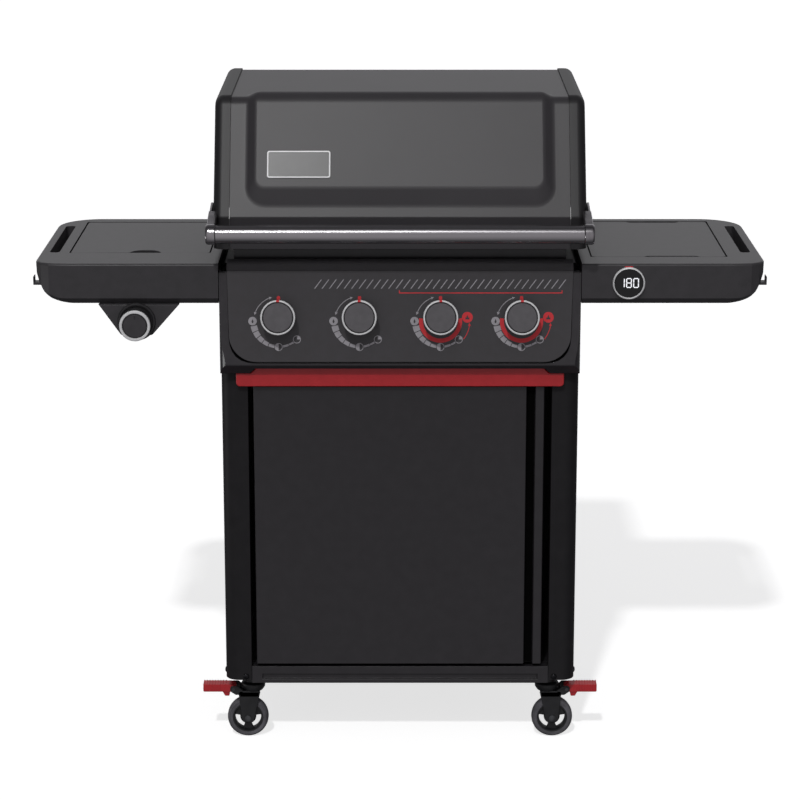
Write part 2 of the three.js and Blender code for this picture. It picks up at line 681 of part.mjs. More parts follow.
function panSupport() {
  const { x, y } = SIDE_BURNER;
  const zs = [892 + GAP, 896.5];
  const [halfBar, ringOuter, ringWidth, tip] = [4, 66, 8, 34];
  const [sideReach, frontReach] = [112, 136];
  const ring = tube(ringOuter, ringWidth, 'z', [x, y, 0], ...zs, 16);
  const bars = (from, toSide, toFront) => [-1, 1].flatMap((way) => [
    block([x + way * from, x + way * toSide], [y - halfBar, y + halfBar], zs),
    block([x - halfBar, x + halfBar], [y + way * from, y + way * toFront], zs),
  ]);
  return join(ring, bars(62, sideReach, frontReach), bars(tip, 60, 60));
}
add('side_burner_grate', FINISH.castIron, panSupport());

// The control hangs under the shelf's front edge in a wedge-shaped box, open to the rear,
// that also holds the side burner's valve.
function burnerBracket() {
  const top = SHELF.bottom - GAP;
  const wedge = (inset) => rounded([
    [-534 + 2 * inset, top - inset], [-495 + inset, 780 + inset, 6],
    [-440 - inset, 780 + inset, 6], [-391 - 2 * inset, top - inset],
  ]);
  const [front, back, wall] = [SIDE_KNOB.panelY, -176, 2];
  const hollow = sweep(wedge(wall), 'y', front + wall, back + 1);
  const shell = sweep(wedge(0), 'y', front, back).subtract(hollow);
  const { x, z } = SIDE_KNOB;
  const valve = block([x - 13, x + 13], [front + 1, front + 40], [z - 14, z + 14]);
  const bore = rod(KNOB.stemRadius + 0.2, 'y', [x, 0, z], front - 2, front + 36);
  return shell.add(valve).subtract(bore);
}
add('side_burner_bracket', FINISH.powderCoat, burnerBracket());

const sideControl = new THREE.Group();
sideControl.position.set(SIDE_KNOB.x, SIDE_KNOB.panelY, SIDE_KNOB.z);
sideControl.rotation.x = Math.PI / 2;
grill.add(sideControl);
const sideStem = valveStem(-30, SIDE_KNOB.back + KNOB.socket - GAP);
const sideKnob = knobBody(SIDE_KNOB.radius, SIDE_KNOB.back, SIDE_KNOB.front);
add('side_valve_stem', FINISH.brass, sideStem, sideControl);
add('side_burner_knob', FINISH.knob, sideKnob, sideControl);

// ------------------------------------------------------------------------- thermometer

// A round display on the right shelf's front, its housing lying against the face.
const gauge = new THREE.Group();
gauge.position.set(404.5, SHELF.front, 874);
gauge.rotation.x = Math.PI / 2;
grill.add(gauge);
add('thermometer_bezel', FINISH.aluminium, tube(28.6, 3, 'z', [0, 0, 0], GAP, 8, 20), gauge);
add('thermometer_display', FINISH.display, rod(25.2, 'z', [0, 0, 0], GAP, 6, 20), gauge);

// --------------------------------------------------------------------------------- lid

// Side view of the lid: an upright lip, a leaning face, a flat top and a rounded back.
function lidOutline(grow, bottom) {
  const { lipY, creaseZ, browY, topZ, backY } = LID;
  const radius = (nominal) => Math.max(2, nominal + grow);
  return rounded([
    [lipY - grow, bottom], [lipY - grow, creaseZ + 0.2 * grow, radius(6)],
    [browY - 0.75 * grow, topZ - 3 + grow, radius(14)],
    [backY + grow, topZ + grow, radius(74)], [backY + grow, bottom],
  ]);
}

// The face carries a raised panel that wraps over the front edge and dies into the top.
function raisedPanel(drop) {
  const slope = (LID.browY - LID.lipY) / (LID.topZ - 3 - LID.creaseZ);
  const onFace = (z, proud) => [LID.lipY + slope * (z - LID.creaseZ) - proud, z];
  const [footZ, kneeZ, proud, browRise] = [1007, 1044, 9, 7];
  const outline = rounded([
    onFace(footZ, -drop), [...onFace(kneeZ, proud - drop), 20],
    [LID.browY - proud + drop, LID.topZ - 3 + browRise - drop, 14], [200, LID.topZ - drop],
    [200, LID.topZ - 12], [-90, LID.topZ - 20], onFace(footZ + 10, -12),
  ]);
  return sweep(outline, 'x', -272 + drop, 272 - drop);
}

function lidSkin() {
  const { lipZ, seamX, halfWidth, sheet } = LID;
  const outer = sweep(lidOutline(0, lipZ), 'x', -seamX, seamX).add(raisedPanel(0));
  const inner = sweep(lidOutline(-sheet, 900), 'x', -halfWidth, halfWidth).add(raisedPanel(sheet));
  return outer.subtract(inner);
}
add('lid_skin', FINISH.enamel, lidSkin());

// An end cap is a cast dish with rounded edges, standing a little proud of the skin, with a
// lug inside that turns on the hinge pin.
function lidEnd(side) {
  const { seamX, halfWidth, capProud, lipZ } = LID;
  const [wall, edge, steps] = [3.5, 16, 4];
  const start = seamX + GAP;
  const angles = Array.from({ length: steps + 1 }, (_, step) => (step / steps) * (Math.PI / 2));
  const insets = [0, ...angles.map((angle) => edge * (1 - Math.cos(angle)))];
  const places = [start, ...angles.map((angle) => halfWidth - edge + edge * Math.sin(angle))];
  const outlines = insets.map((inset) => lidOutline(capProud - inset, lipZ));
  const cap = loft(outlines, places.map((place) => side * place));
  const inside = lidOutline(capProud - wall - 3, 800);
  const hollow = sweep(inside, 'x', side * (seamX - 5), side * (halfWidth - wall));
  const { y, z, pinRadius } = LID_HINGE;
  const lug = block([side * 303, side * 310], [y - 9, LID.backY - 1], [z - 9, z + 10]);
  const pinHole = rod(pinRadius + 0.3, 'x', [0, y, z], side * 290, side * 320);
  return cap.subtract(hollow).add(lug).subtract(pinHole);
}
for (const [name, side] of SIDES) add(`lid_end_${name}`, FINISH.enamel, lidEnd(side));

const handleCentre = [0, HANDLE.y, HANDLE.z];
const { radius: handleRadius, halfLength: handleHalf } = HANDLE;
const handleBar = tube(handleRadius, 1.5, 'x', handleCentre, -handleHalf, handleHalf, 18);
add('lid_handle_bar', FINISH.stainless, handleBar);

// A handle post caps the tube's end and runs back and inward to the lid's end cap.
function handlePost(side) {
  const { y, z, halfLength, capRadius, capOuter } = HANDLE;
  const cap = rod(capRadius, 'x', handleCentre, side * (halfLength + GAP), side * capOuter, 16);
  const plan = new THREE.Shape([
    [322, y], [capOuter, y], [capOuter, y + 12], [336, -205], [332, -180], [331, -180],
    [331, -223.5], [322, -223.5],
  ].map(([u, v]) => new THREE.Vector2(side * u, v)));
  const profile = rounded([
    [y, z - 12], [-205, z + 8], [-180, z + 26], [-180, z + 40, 4], [-200, z + 36, 10],
    [y, z + capRadius],
  ]);
  const sideView = sweep(profile, 'x', side * 300, side * 350);
  const arm = sweep(plan, 'z', z - 20, z + 60).intersect(sideView);
  return cap.add(arm);
}
for (const [name, side] of SIDES) add(`handle_post_${name}`, FINISH.aluminium, handlePost(side));

// ------------------------------------------------------------------------------ casters

// A fork hangs from its collar under the cart and holds the axle to one side of the swivel
// axis. A braked fork also has two ears with the pedal's pin.
function casterFork(side, braked) {
  const { wheelWidth, trail, axleRadius, wheelRadius } = CASTER;
  const [gap, arm] = [1.5, 3.5];
  const reach = wheelWidth / 2 + gap + arm;
  const leg = rounded([
    [side * -14, 92], [side * (trail - 10), wheelRadius - 8, 6],
    [side * (trail + 10), wheelRadius - 8, 6], [side * 27, 92],
  ]);
  const between = (zs) => block([-60, 60], [arm - reach, reach - arm], zs);
  const fork = sweep(leg, 'y', -reach, reach).subtract(between([0, 79.5]));
  const collar = turn([
    [0, 91], [18, 91], [22, 98], [22, 105], [15, 108], [15, 120.7], [0, 120.7],
  ], 'z', [0, 0, 0]);
  const axle = rod(axleRadius, 'y', [side * trail, 0, wheelRadius], -reach - 2, reach + 2);
  const pieces = [fork, collar, axle];
  if (braked) {
    const { x, z, radius } = PEDAL_PIVOT;
    const ear = rounded([
      [side * 20, 84], [side * (x - 4), 84, 3], [side * (x + 6), z - 4, 5],
      [side * (x + 6), z + 6, 5], [side * (x - 8), z + 6, 5], [side * 20, 92],
    ]);
    const ears = sweep(ear, 'y', -reach, reach).subtract(between([70, 120]));
    pieces.push(ears, rod(radius, 'y', [side * x, 0, z], -reach, reach, 12));
  }
  return join(pieces);
}

// A wheel: a tyre on a hub whose thin web is pierced by three holes. It is faceted, and it
// stands on a facet.
function casterWheel(side) {
  const { wheelRadius, wheelWidth, axleRadius, trail } = CASTER;
  const half = wheelWidth / 2;
  const bore = axleRadius + 0.3;
  const facets = 24;
  const tread = wheelRadius / Math.cos(Math.PI / facets);
  const profile = [
    [bore, -half], [12, -half], [12, -4], [27, -4], [27, 1 - half], [tread - 4, 1 - half],
    [tread, 5 - half], [tread, half - 5], [tread - 4, half - 1], [27, half - 1], [27, 4],
    [12, 4], [12, half], [bore, half], [bore, -half],
  ];
  const hole = { radius: 5, from: 19.5, angles: [90, 210, 330] };
  const holes = hole.angles.map((degrees) => {
    const angle = THREE.MathUtils.degToRad(degrees);
    const centre = [hole.from * Math.cos(angle), 0, hole.from * Math.sin(angle)];
    return rod(hole.radius, 'y', centre, -8, 8, 8);
  });
  const wheel = turn(profile, 'y', [0, 0, 0], facets).subtract(join(holes));
  const flatDown = Math.PI / facets;
  return toSolid(toGeometry(wheel).rotateY(flatDown).translate(side * trail, 0, wheelRadius));
}

// The pedal: a flat tread outward, with a claw below that the pivot pin passes through.
function brakePedal(side) {
  const { x, z, radius } = PEDAL_PIVOT;
  const half = CASTER.wheelWidth / 2 + 0.9;
  const [treadBottom, treadTop, treadEnd] = [88.5, 103.5, 92];
  const tread = rounded([
    [side * (x - 5), z + 4, 2], [side * (x - 5), z - 5, 3], [side * (x + 8), z - 7, 3],
    [side * (x + 22), treadBottom, 4], [side * treadEnd, treadBottom, 2],
    [side * treadEnd, treadTop, 2], [side * (x + 4), treadTop, 3],
  ]);
  const pin = rod(radius + 0.3, 'y', [side * x, 0, z], -half - 1, half + 1, 12);
  return sweep(tread, 'y', -half, half).subtract(pin);
}

for (const [row, y, braked] of [['front', CASTER.frontY, true], ['rear', CASTER.rearY, false]]) {
  for (const [name, side] of SIDES) {
    const caster = new THREE.Group();
    caster.position.set(side * CASTER.x, y, 0);
    grill.add(caster);
    add(`caster_fork_${row}_${name}`, FINISH.moulding, casterFork(side, braked), caster);
    add(`caster_wheel_${row}_${name}`, FINISH.tyre, casterWheel(side), caster);
    if (braked) add(`brake_pedal_${name}`, FINISH.red, brakePedal(side), caster);
  }
}

export default grill;
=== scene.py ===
"""Looks for a gas barbecue grill: a lidded cook box on a closed cart with four casters, two side
shelves, a side burner and a slide-out grease tray. Sizes are written in millimetres."""

from math import atan2, cos, pi, radians, sin, tan

import bmesh
import bpy
from mathutils import Matrix, Vector


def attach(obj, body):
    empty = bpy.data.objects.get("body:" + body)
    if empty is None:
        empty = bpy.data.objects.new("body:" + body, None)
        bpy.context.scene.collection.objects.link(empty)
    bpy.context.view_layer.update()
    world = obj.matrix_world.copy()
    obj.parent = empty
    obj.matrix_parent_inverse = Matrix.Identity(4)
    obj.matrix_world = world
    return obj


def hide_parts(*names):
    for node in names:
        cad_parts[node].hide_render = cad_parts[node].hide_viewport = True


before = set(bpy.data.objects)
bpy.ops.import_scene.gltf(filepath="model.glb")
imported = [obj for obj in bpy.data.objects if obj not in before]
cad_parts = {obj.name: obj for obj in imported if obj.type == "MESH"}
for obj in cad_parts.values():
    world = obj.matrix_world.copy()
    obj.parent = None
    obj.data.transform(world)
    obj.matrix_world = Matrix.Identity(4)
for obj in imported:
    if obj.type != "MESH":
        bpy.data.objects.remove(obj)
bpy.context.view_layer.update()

# ------------------------------------------------------------------------------- studio
# A pale paper floor under soft light: a key light over the user's left shoulder, a broad light
# overhead, and a tall soft panel behind the grill, which the flat tops mirror at a low angle. A
# small card at the left is seen only in shiny parts.

LOOK_DOWN = 14.3


def linear(colour):
    """An sRGB hex colour as the linear RGBA that a socket takes."""
    channels = [int(colour[i : i + 2], 16) / 255 for i in (1, 3, 5)]
    return [c / 12.92 if c <= 0.04045 else ((c + 0.055) / 1.055) ** 2.4 for c in channels] + [1.0]


def add_node(tree, kind, inputs=None, **settings):
    """Adds a node. Each input is a value, or another node's output to link from."""
    node = tree.nodes.new(kind)
    for setting, value in settings.items():
        setattr(node, setting, value)
    for socket, value in (inputs or {}).items():
        if isinstance(value, bpy.types.NodeSocket):
            tree.links.new(value, node.inputs[socket])
        else:
            node.inputs[socket].default_value = value
    return node


def start_material(name, colour, roughness, **sockets):
    """A material with its shader's own sockets set, its node tree and its shader."""
    material = bpy.data.materials.new(name)
    material.use_nodes = True
    tree = material.node_tree
    shader = tree.nodes["Principled BSDF"]
    shader.inputs["Base Color"].default_value = linear(colour)
    shader.inputs["Roughness"].default_value = roughness
    for socket, value in sockets.items():
        shader.inputs[socket.replace("_", " ")].default_value = value
    return material, tree, shader


scene = bpy.context.scene
scene.view_settings.view_transform = "Standard"
scene.world = bpy.data.worlds.new("studio_walls")
scene.world.use_nodes = True
walls = scene.world.node_tree
facing = add_node(walls, "ShaderNodeTexCoord")
toward_back = add_node(walls, "ShaderNodeSeparateXYZ", {"Vector": facing.outputs["Generated"]})
reach_back = add_node(
    walls, "ShaderNodeMapRange", {"Value": toward_back.outputs["Y"], "From Min": -1.0, "From Max": 1.0}
)
wall_tone = add_node(walls, "ShaderNodeValToRGB", {"Fac": reach_back.outputs["Result"]})
wall_tone.color_ramp.elements[0].color = linear("#adabae")
wall_tone.color_ramp.elements[1].color = linear("#77777a")
wall_tone.color_ramp.elements.new(0.3).color = linear("#68686a")
wall_tone.color_ramp.elements.new(0.5).color = linear("#38383a")
walls.links.new(wall_tone.outputs["Color"], walls.nodes["Background"].inputs["Color"])


def hang_light(name, kind, place, aim, strength, **settings):
    """A light at one point that shines towards another, both in metres."""
    lamp = bpy.data.lights.new(name, kind)
    lamp.energy = strength
    for setting, value in settings.items():
        setattr(lamp, setting, value)
    holder = bpy.data.objects.new(name, lamp)
    holder.location = place
    holder.rotation_euler = (Vector(aim) - Vector(place)).to_track_quat("-Z", "Y").to_euler()
    scene.collection.objects.link(holder)
    return holder


hang_light("key_light", "SUN", (-0.187, -0.94, 1), (0, 0, 0), 0.95, angle=radians(2.6))
overhead = hang_light("overhead_light", "SUN", (0, -0.15, 3), (0, 0, 0), 1.5, angle=radians(110))
overhead.visible_glossy = False
back_panel = hang_light(
    "back_panel_light", "AREA", (0, 19, 7), (0, 0, 1.0), 430, shape="RECTANGLE", size=30, size_y=12
)

left_card = hang_light(
    "left_card", "AREA", (-2.2, -0.35, 0.27), (-0.31, -0.23, 0.8), 4, shape="RECTANGLE", size=0.9,
    size_y=0.3,
)
left_card.visible_diffuse = False
for lamp in (back_panel, left_card):
    lamp.visible_camera = False

floor_shape = bmesh.new()
bmesh.ops.create_grid(floor_shape, x_segments=1, y_segments=1, size=45)
floor_mesh = bpy.data.meshes.new("floor")
floor_shape.to_mesh(floor_mesh)
floor_shape.free()
floor = bpy.data.objects.new("floor", floor_mesh)
scene.collection.objects.link(floor)
paper = start_material(
    "matt_paper_floor", "#f4f4f4", 0.95, Specular_IOR_Level=0.0, Emission_Color=linear("#ffffff"),
    Emission_Strength=0.72,
)[0]
floor_mesh.materials.append(paper)
floor.visible_diffuse = False
floor.visible_glossy = False
not_the_floor = bpy.data.collections.new("not_the_floor")
not_the_floor.objects.link(floor)
not_the_floor.collection_objects[0].light_linking.link_state = "EXCLUDE"
for lamp in (overhead, back_panel):
    lamp.light_linking.receiver_collection = not_the_floor

lens = bpy.data.cameras.new("camera")
lens.sensor_width = 36
lens.lens = 121.68
camera = bpy.data.objects.new("camera", lens)
camera.location = (0, -4.920, 1.8544)
camera.rotation_euler = (radians(90 - LOOK_DOWN), 0, 0)
scene.collection.objects.link(camera)
scene.camera = camera

# ------------------------------------------------------------------------------ casters
# Four swivel casters with 76 mm wheels: black glass-filled nylon forks on a steel swivel, grey
# rubber tyres on open-spoked nylon hubs, and a red nylon brake pedal on each front caster.

SIDES = [("left", -1), ("right", 1)]
CASTER_ROWS = [("front", -175, True), ("rear", 190, False)]
CASTER_X = 273
TRAIL = 10
WHEEL_RADIUS = 38
PEDAL_PIVOT_X, PEDAL_PIVOT_Z = 36, 95


def round_edges(shape, edges, radius, segments, clamp=True):
    """Rounds some edges of a shape to a radius."""
    bmesh.ops.bevel(
        shape, geom=edges, offset=radius, offset_type="OFFSET", segments=segments, profile=0.5,
        affect="EDGES", material=-1, clamp_overlap=clamp,
    )


def chain(shape, points):
    """Joins points to a line of edges, and gives its points and its edges."""
    verts = [shape.verts.new(point) for point in points]
    return verts, [shape.edges.new(pair) for pair in zip(verts, verts[1:])]


def verts_in(made):
    """The points among what an operator made."""
    return [item for item in made["geom"] if isinstance(item, bmesh.types.BMVert)]


def spin_round(shape, profile, steps):
    """Spins a line of (radius, height) points once round the z axis."""
    verts, edges = chain(shape, [(radius, 0, height) for radius, height in profile])
    bmesh.ops.spin(
        shape, geom=verts + edges, cent=(0, 0, 0), axis=(0, 0, 1), dvec=(0, 0, 0), angle=2 * pi,
        steps=steps, use_merge=True,
    )


def give_thickness(sheet, thickness):
    """Makes a sheet solid, inwards from its outer face."""
    bmesh.ops.recalc_face_normals(sheet, faces=sheet.faces)
    bmesh.ops.solidify(sheet, geom=sheet.faces[:], thickness=thickness)


def soften(shape, radius, segments=2, sharper_than=35):
    """Rounds every edge of a closed shape that is sharper than an angle."""
    bmesh.ops.recalc_face_normals(shape, faces=shape.faces)
    edges = [
        e for e in shape.edges
        if len(e.link_faces) == 2 and e.calc_face_angle(0) > radians(sharper_than)
    ]
    round_edges(shape, edges, radius, segments)
    return shape


def box(xs, ys, zs, edge=0, segments=2):
    """A box between two limits along each axis."""
    shape = bmesh.new()
    bmesh.ops.create_cube(shape, size=1)
    spans = [xs, ys, zs]
    bmesh.ops.scale(shape, vec=[abs(b - a) for a, b in spans], verts=shape.verts)
    bmesh.ops.translate(shape, vec=[(a + b) / 2 for a, b in spans], verts=shape.verts)
    return soften(shape, edge, segments) if edge else shape


# Where a flat shape's own u, v and depth go: y, z, x along "x", x, z, y along "y".
LIE_ALONG = {
    "x": Matrix(((0, 0, 1), (1, 0, 0), (0, 1, 0))),
    "y": Matrix(((1, 0, 0), (0, 0, 1), (0, 1, 0))),
    "z": Matrix.Identity(3),
}


def outline(corners, steps=6):
    """A flat face through corners [u, v, radius], in x and y."""
    shape = bmesh.new()
    verts = [shape.verts.new((corner[0], corner[1], 0)) for corner in corners]
    shape.faces.new(verts)
    for vert, corner in zip(verts, corners):
        if len(corner) == 3:
            before, after = [e.other_vert(vert).co - vert.co for e in vert.link_edges]
            bmesh.ops.bevel(
                shape, geom=[vert], offset=corner[2] * tan((pi - before.angle(after)) / 2),
                offset_type="OFFSET", segments=steps, profile=0.5, affect="VERTICES",
                material=-1, clamp_overlap=False,
            )
    return shape


def thicken(shape, axis, low, high):
    """Gives a flat shape thickness and lays it across an axis."""
    made = bmesh.ops.extrude_face_region(shape, geom=shape.faces[:])
    bmesh.ops.translate(shape, vec=(0, 0, high - low), verts=verts_in(made))
    bmesh.ops.translate(shape, vec=(0, 0, low), verts=shape.verts)
    bmesh.ops.transform(shape, matrix=LIE_ALONG[axis].to_4x4(), verts=shape.verts)
    return shape


def plate(corners, axis, low, high, edge=0, segments=2, steps=6):
    """A rounded outline given thickness along an axis."""
    shape = thicken(outline(corners, steps), axis, low, high)
    return soften(shape, edge, segments) if edge else shape


def turned(profile, axis, centre, edge=0, steps=40):
    """A profile of (radius, height) pairs spun round an axis through a centre."""
    shape = bmesh.new()
    spin_round(shape, profile, steps)
    bmesh.ops.remove_doubles(shape, verts=shape.verts, dist=0.001)
    on_axis = [e for e in shape.edges if not e.link_faces]
    bmesh.ops.delete(shape, geom=on_axis, context="EDGES")
    bmesh.ops.transform(shape, matrix=LIE_ALONG[axis].to_4x4(), verts=shape.verts)
    bmesh.ops.translate(shape, vec=centre, verts=shape.verts)
    return soften(shape, edge) if edge else shape


def moved(shape, x=0, y=0, z=0, side=1):
    """A shape made for the right side, flipped for the left one and put in its place."""
    bmesh.ops.scale(shape, vec=(side, 1, 1), verts=shape.verts)
    bmesh.ops.translate(shape, vec=(x, y, z), verts=shape.verts)
    return shape


def finish_piece(name, shapes, material, body, slot, *stands_for, smooth_below=38):
    """Joins shapes to one object in metres, which rides on a body and stands for CAD nodes."""
    mesh = bpy.data.meshes.new(name)
    whole = bmesh.new()
    for shape in shapes:
        bmesh.ops.remove_doubles(shape, verts=shape.verts, dist=0.0005)
        bmesh.ops.recalc_face_normals(shape, faces=shape.faces)
        shape.to_mesh(mesh)
        shape.free()
        whole.from_mesh(mesh)
    bmesh.ops.scale(whole, vec=(0.001, 0.001, 0.001), verts=whole.verts)
    whole.to_mesh(mesh)
    whole.free()
    mesh.shade_smooth()
    mesh.set_sharp_from_angle(angle=radians(smooth_below))
    mesh.materials.append(material)
    piece = bpy.data.objects.new(name, mesh)
    piece.modifiers.new("flat_faces_stay_flat", "WEIGHTED_NORMAL").keep_sharp = True
    scene.collection.objects.link(piece)
    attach(piece, body)
    if stands_for:
        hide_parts(*stands_for)
    return piece


def grained(name, dark, light, grain_mm, relief_mm, roughness, squeeze=(1, 1, 1), **sockets):
    """A finish whose colour drifts between two tones and whose surface has a fine relief. A
    squeeze below one along an axis draws its grain out into streaks."""
    material, tree, shader = start_material(name, light, roughness, **sockets)
    place = add_node(tree, "ShaderNodeTexCoord")
    spread = add_node(
        tree, "ShaderNodeMapping", {"Vector": place.outputs["Object"], "Scale": squeeze}
    )
    drift = add_node(
        tree, "ShaderNodeTexNoise",
        {"Vector": spread.outputs["Vector"], "Scale": 1000 / (14 * grain_mm), "Detail": 5.0},
    )
    tone = add_node(tree, "ShaderNodeValToRGB", {"Fac": drift.outputs["Fac"]})
    tone.color_ramp.elements[0].position = 0.3
    tone.color_ramp.elements[0].color = linear(dark)
    tone.color_ramp.elements[1].position = 0.7
    tone.color_ramp.elements[1].color = linear(light)
    tree.links.new(tone.outputs["Color"], shader.inputs["Base Color"])
    grain = add_node(
        tree, "ShaderNodeTexNoise",
        {"Vector": spread.outputs["Vector"], "Scale": 1000 / grain_mm, "Detail": 2.0},
    )
    relief = add_node(
        tree, "ShaderNodeBump",
        {"Height": grain.outputs["Fac"], "Strength": 1.0, "Distance": relief_mm / 1000},
    )
    tree.links.new(relief.outputs["Normal"], shader.inputs["Normal"])
    return material


# Glass-filled nylon: a fine spark texture keeps it matt, with a faint sheen on the edges.
fork_nylon = grained("moulded_black_nylon", "#131416", "#1d1e20", 0.9, 0.03, 0.45)
# Thermoplastic rubber: chalky grey, a little scuffed where it rolls.
tyre_rubber = grained("grey_tyre_rubber", "#47464a", "#66656a", 1.4, 0.08, 0.75)
# Pigmented nylon: an even bright red with a soft moulded sheen.
red_nylon = grained("red_moulded_nylon", "#b01f26", "#b9242b", 1.2, 0.02, 0.38)
# Zinc-plated steel bolts, weathered: a dull dark grey, slightly cloudy.
zinc_plate = grained("zinc_plated_steel", "#4c4d4f", "#66686a", 0.8, 0.01, 0.35, Metallic=1.0)


def caster_fork(side, braked):
    """Two leaning legs under a hood and a round swivel collar, with ears for a brake pedal."""
    shapes = []
    for low, high in ((-17, -13.5), (13.5, 17)):
        shapes.append(plate([[-14, 90], [0, 30, 6], [20, 30, 6], [27, 90]], "y", low, high, 0.9))
        if braked:
            ear = [[18, 84], [32, 84, 3], [42, 91, 5], [42, 101, 5], [28, 101, 5], [18, 92]]
            shapes.append(plate(ear, "y", low, high, 0.9))
    shapes.append(plate([[-13.5, 92, 3], [-11.2, 79.5], [24.3, 79.5], [27, 92, 3]], "y", -17, 17, 1.5))
    collar = [
        (0, 91), (18, 91), (22, 97), (22.5, 102), (21, 105), (15, 108), (15, 120.7), (0, 120.7),
    ]
    shapes.append(turned(collar, "z", (0, 0, 0), 0.8))
    return [moved(shape, side=side) for shape in shapes]


def caster_bolts(side, braked):
    """The axle's domed heads and the brake pedal's pin."""
    head = [(0, 17), (6.2, 17), (6, 18.2), (4, 19), (0, 19)]
    shapes = [turned([(0, -17.5), (4, -17.5), (4, 17.5), (0, 17.5)], "y", (TRAIL, 0, WHEEL_RADIUS))]
    for end in (-1, 1):
        shapes.append(turned([(r, end * h) for r, h in head], "y", (TRAIL, 0, WHEEL_RADIUS)))
    if braked:
        pin = [(0, -17.4), (3, -17.4), (3, 17.4), (0, 17.4)]
        shapes.append(turned(pin, "y", (PEDAL_PIVOT_X, 0, PEDAL_PIVOT_Z), 0.4, 20))
    return [moved(shape, side=side) for shape in shapes]


def caster_tyre(side):
    """A tread with rounded shoulders and a thin rim line on each face."""
    profile = [
        (28, -10.8), (31, -11.6), (33, -11.4), (33.6, -12), (35.4, -10.6), (37.4, -7.4), (38, -3),
        (38, 3), (37.4, 7.4), (35.4, 10.6), (33.6, 12), (33, 11.4), (31, 11.6), (28, 10.8), (28, -10.8),
    ]
    return [turned(profile, "y", (side * TRAIL, 0, WHEEL_RADIUS), 0, 64)]


def caster_hub(side):
    """A rim and a boss joined by three spokes, with open windows between them."""
    web = bmesh.new()
    spin_round(web, [(radius, 0) for radius in (8, 12.5, 15, 24, 28.2)], 48)
    windows = []
    for face in web.faces:
        middle = face.calc_center_median()
        bearing = (atan2(middle.y, middle.x) - pi / 2) % (2 * pi / 3)
        if 15 < middle.length < 24 and min(bearing, 2 * pi / 3 - bearing) < radians(41):
            windows.append(face)
    bmesh.ops.delete(web, geom=windows, context="FACES")
    give_thickness(web, 8)
    bmesh.ops.translate(web, vec=(0, 0, 4 - max(v.co.z for v in web.verts)), verts=web.verts)
    soften(web, 0.9, 2, 50)
    bmesh.ops.transform(web, matrix=LIE_ALONG["y"].to_4x4(), verts=web.verts)
    rim = [(24, -4), (26, -10.8), (28.3, -11), (28.3, 11), (26, 10.8), (24, 4), (24, -4)]
    boss = [(4.3, -12), (9, -12), (12.5, -10), (12.5, 10), (9, 12), (4.3, 12), (4.3, -12)]
    shapes = [web, turned(rim, "y", (0, 0, 0)), turned(boss, "y", (0, 0, 0), 0.5)]
    return [moved(shape, x=side * TRAIL, z=WHEEL_RADIUS) for shape in shapes]


def brake_pedal(side):
    """A long flat tread with cross ribs, over a claw that grips the pivot pin."""
    tread = [
        [31, 99, 2], [31, 90, 3], [44, 88, 3], [58, 88.5, 4], [92, 88.5, 2], [92, 102.7, 2],
        [40, 102.7, 3],
    ]
    shapes = [plate(tread, "y", -12.4, 12.4, 1.2)]
    for rib in range(9):
        x = 50 + rib * 5
        shapes.append(box((x, x + 2.2), (-12.9, 12.9), (90, 103.5), 0.7))
    claw = [[44, 80, 2], [52, 80, 2], [58, 91], [42, 91]]
    for y in (-9, 0, 9):
        shapes.append(plate(claw, "y", y - 1.2, y + 1.2, 0.5))
    return [moved(shape, side=side) for shape in shapes]


def fit_caster(place, name, shapes, *finish):
    """Stands a caster's shapes at a place on the floor and finishes them."""
    finish_piece(name, [moved(shape, *place) for shape in shapes], *finish)


for row, y, braked in CASTER_ROWS:
    for name, side in SIDES:
        place = (side * CASTER_X, y)
        key = f"{row}_{name}"
        fit_caster(
            place, f"caster_fork_shell_{key}", caster_fork(side, braked), fork_nylon,
            f"caster_{key}", "moulding", f"caster_fork_{key}",
        )
        fit_caster(
            place, f"caster_bolts_{key}", caster_bolts(side, braked), zinc_plate,
            f"caster_{key}", "stainless",
        )
        fit_caster(
            place, f"caster_tyre_{key}", caster_tyre(side), tyre_rubber, f"wheel_{key}", "tyre",
            f"caster_wheel_{key}",
        )
        fit_caster(
            place, f"caster_hub_{key}", caster_hub(side), fork_nylon, f"wheel_{key}", "moulding"
        )
        if braked:
            fit_caster(
                place, f"brake_tread_{name}", brake_pedal(side), red_nylon, f"brake_{name}",
                "red_nylon", f"brake_pedal_{name}",
            )

# -------------------------------------------------------------------------------- cart
# The cabinet is folded from 1.5 mm steel and powder coated satin black. Each side panel folds
# round its front corner into a post, and the floor and the bottom rail are screwed between them.

CART_HALF_WIDTH, CART_FRONT, CART_BACK = 321, -220, 235
CART_BOTTOM, CART_TOP, CART_SHEET = 124, 890, 1.5

# Satin powder coat on steel: near black with a faint orange peel that breaks up reflections.
powder_coat = grained("satin_black_powder_coat", "#232124", "#282629", 1.6, 0.012, 0.4)
# The same coat on the side panels, painted a shade blacker and almost without shine: painted shade on the
# posts' rounded corners, which turn away from the light.
side_panel_shaded_coat = grained(
    "powder_coat_painted_side_shade", "#1d1c1e", "#212022", 1.6, 0.012, 0.5, Specular_IOR_Level=0.2
)


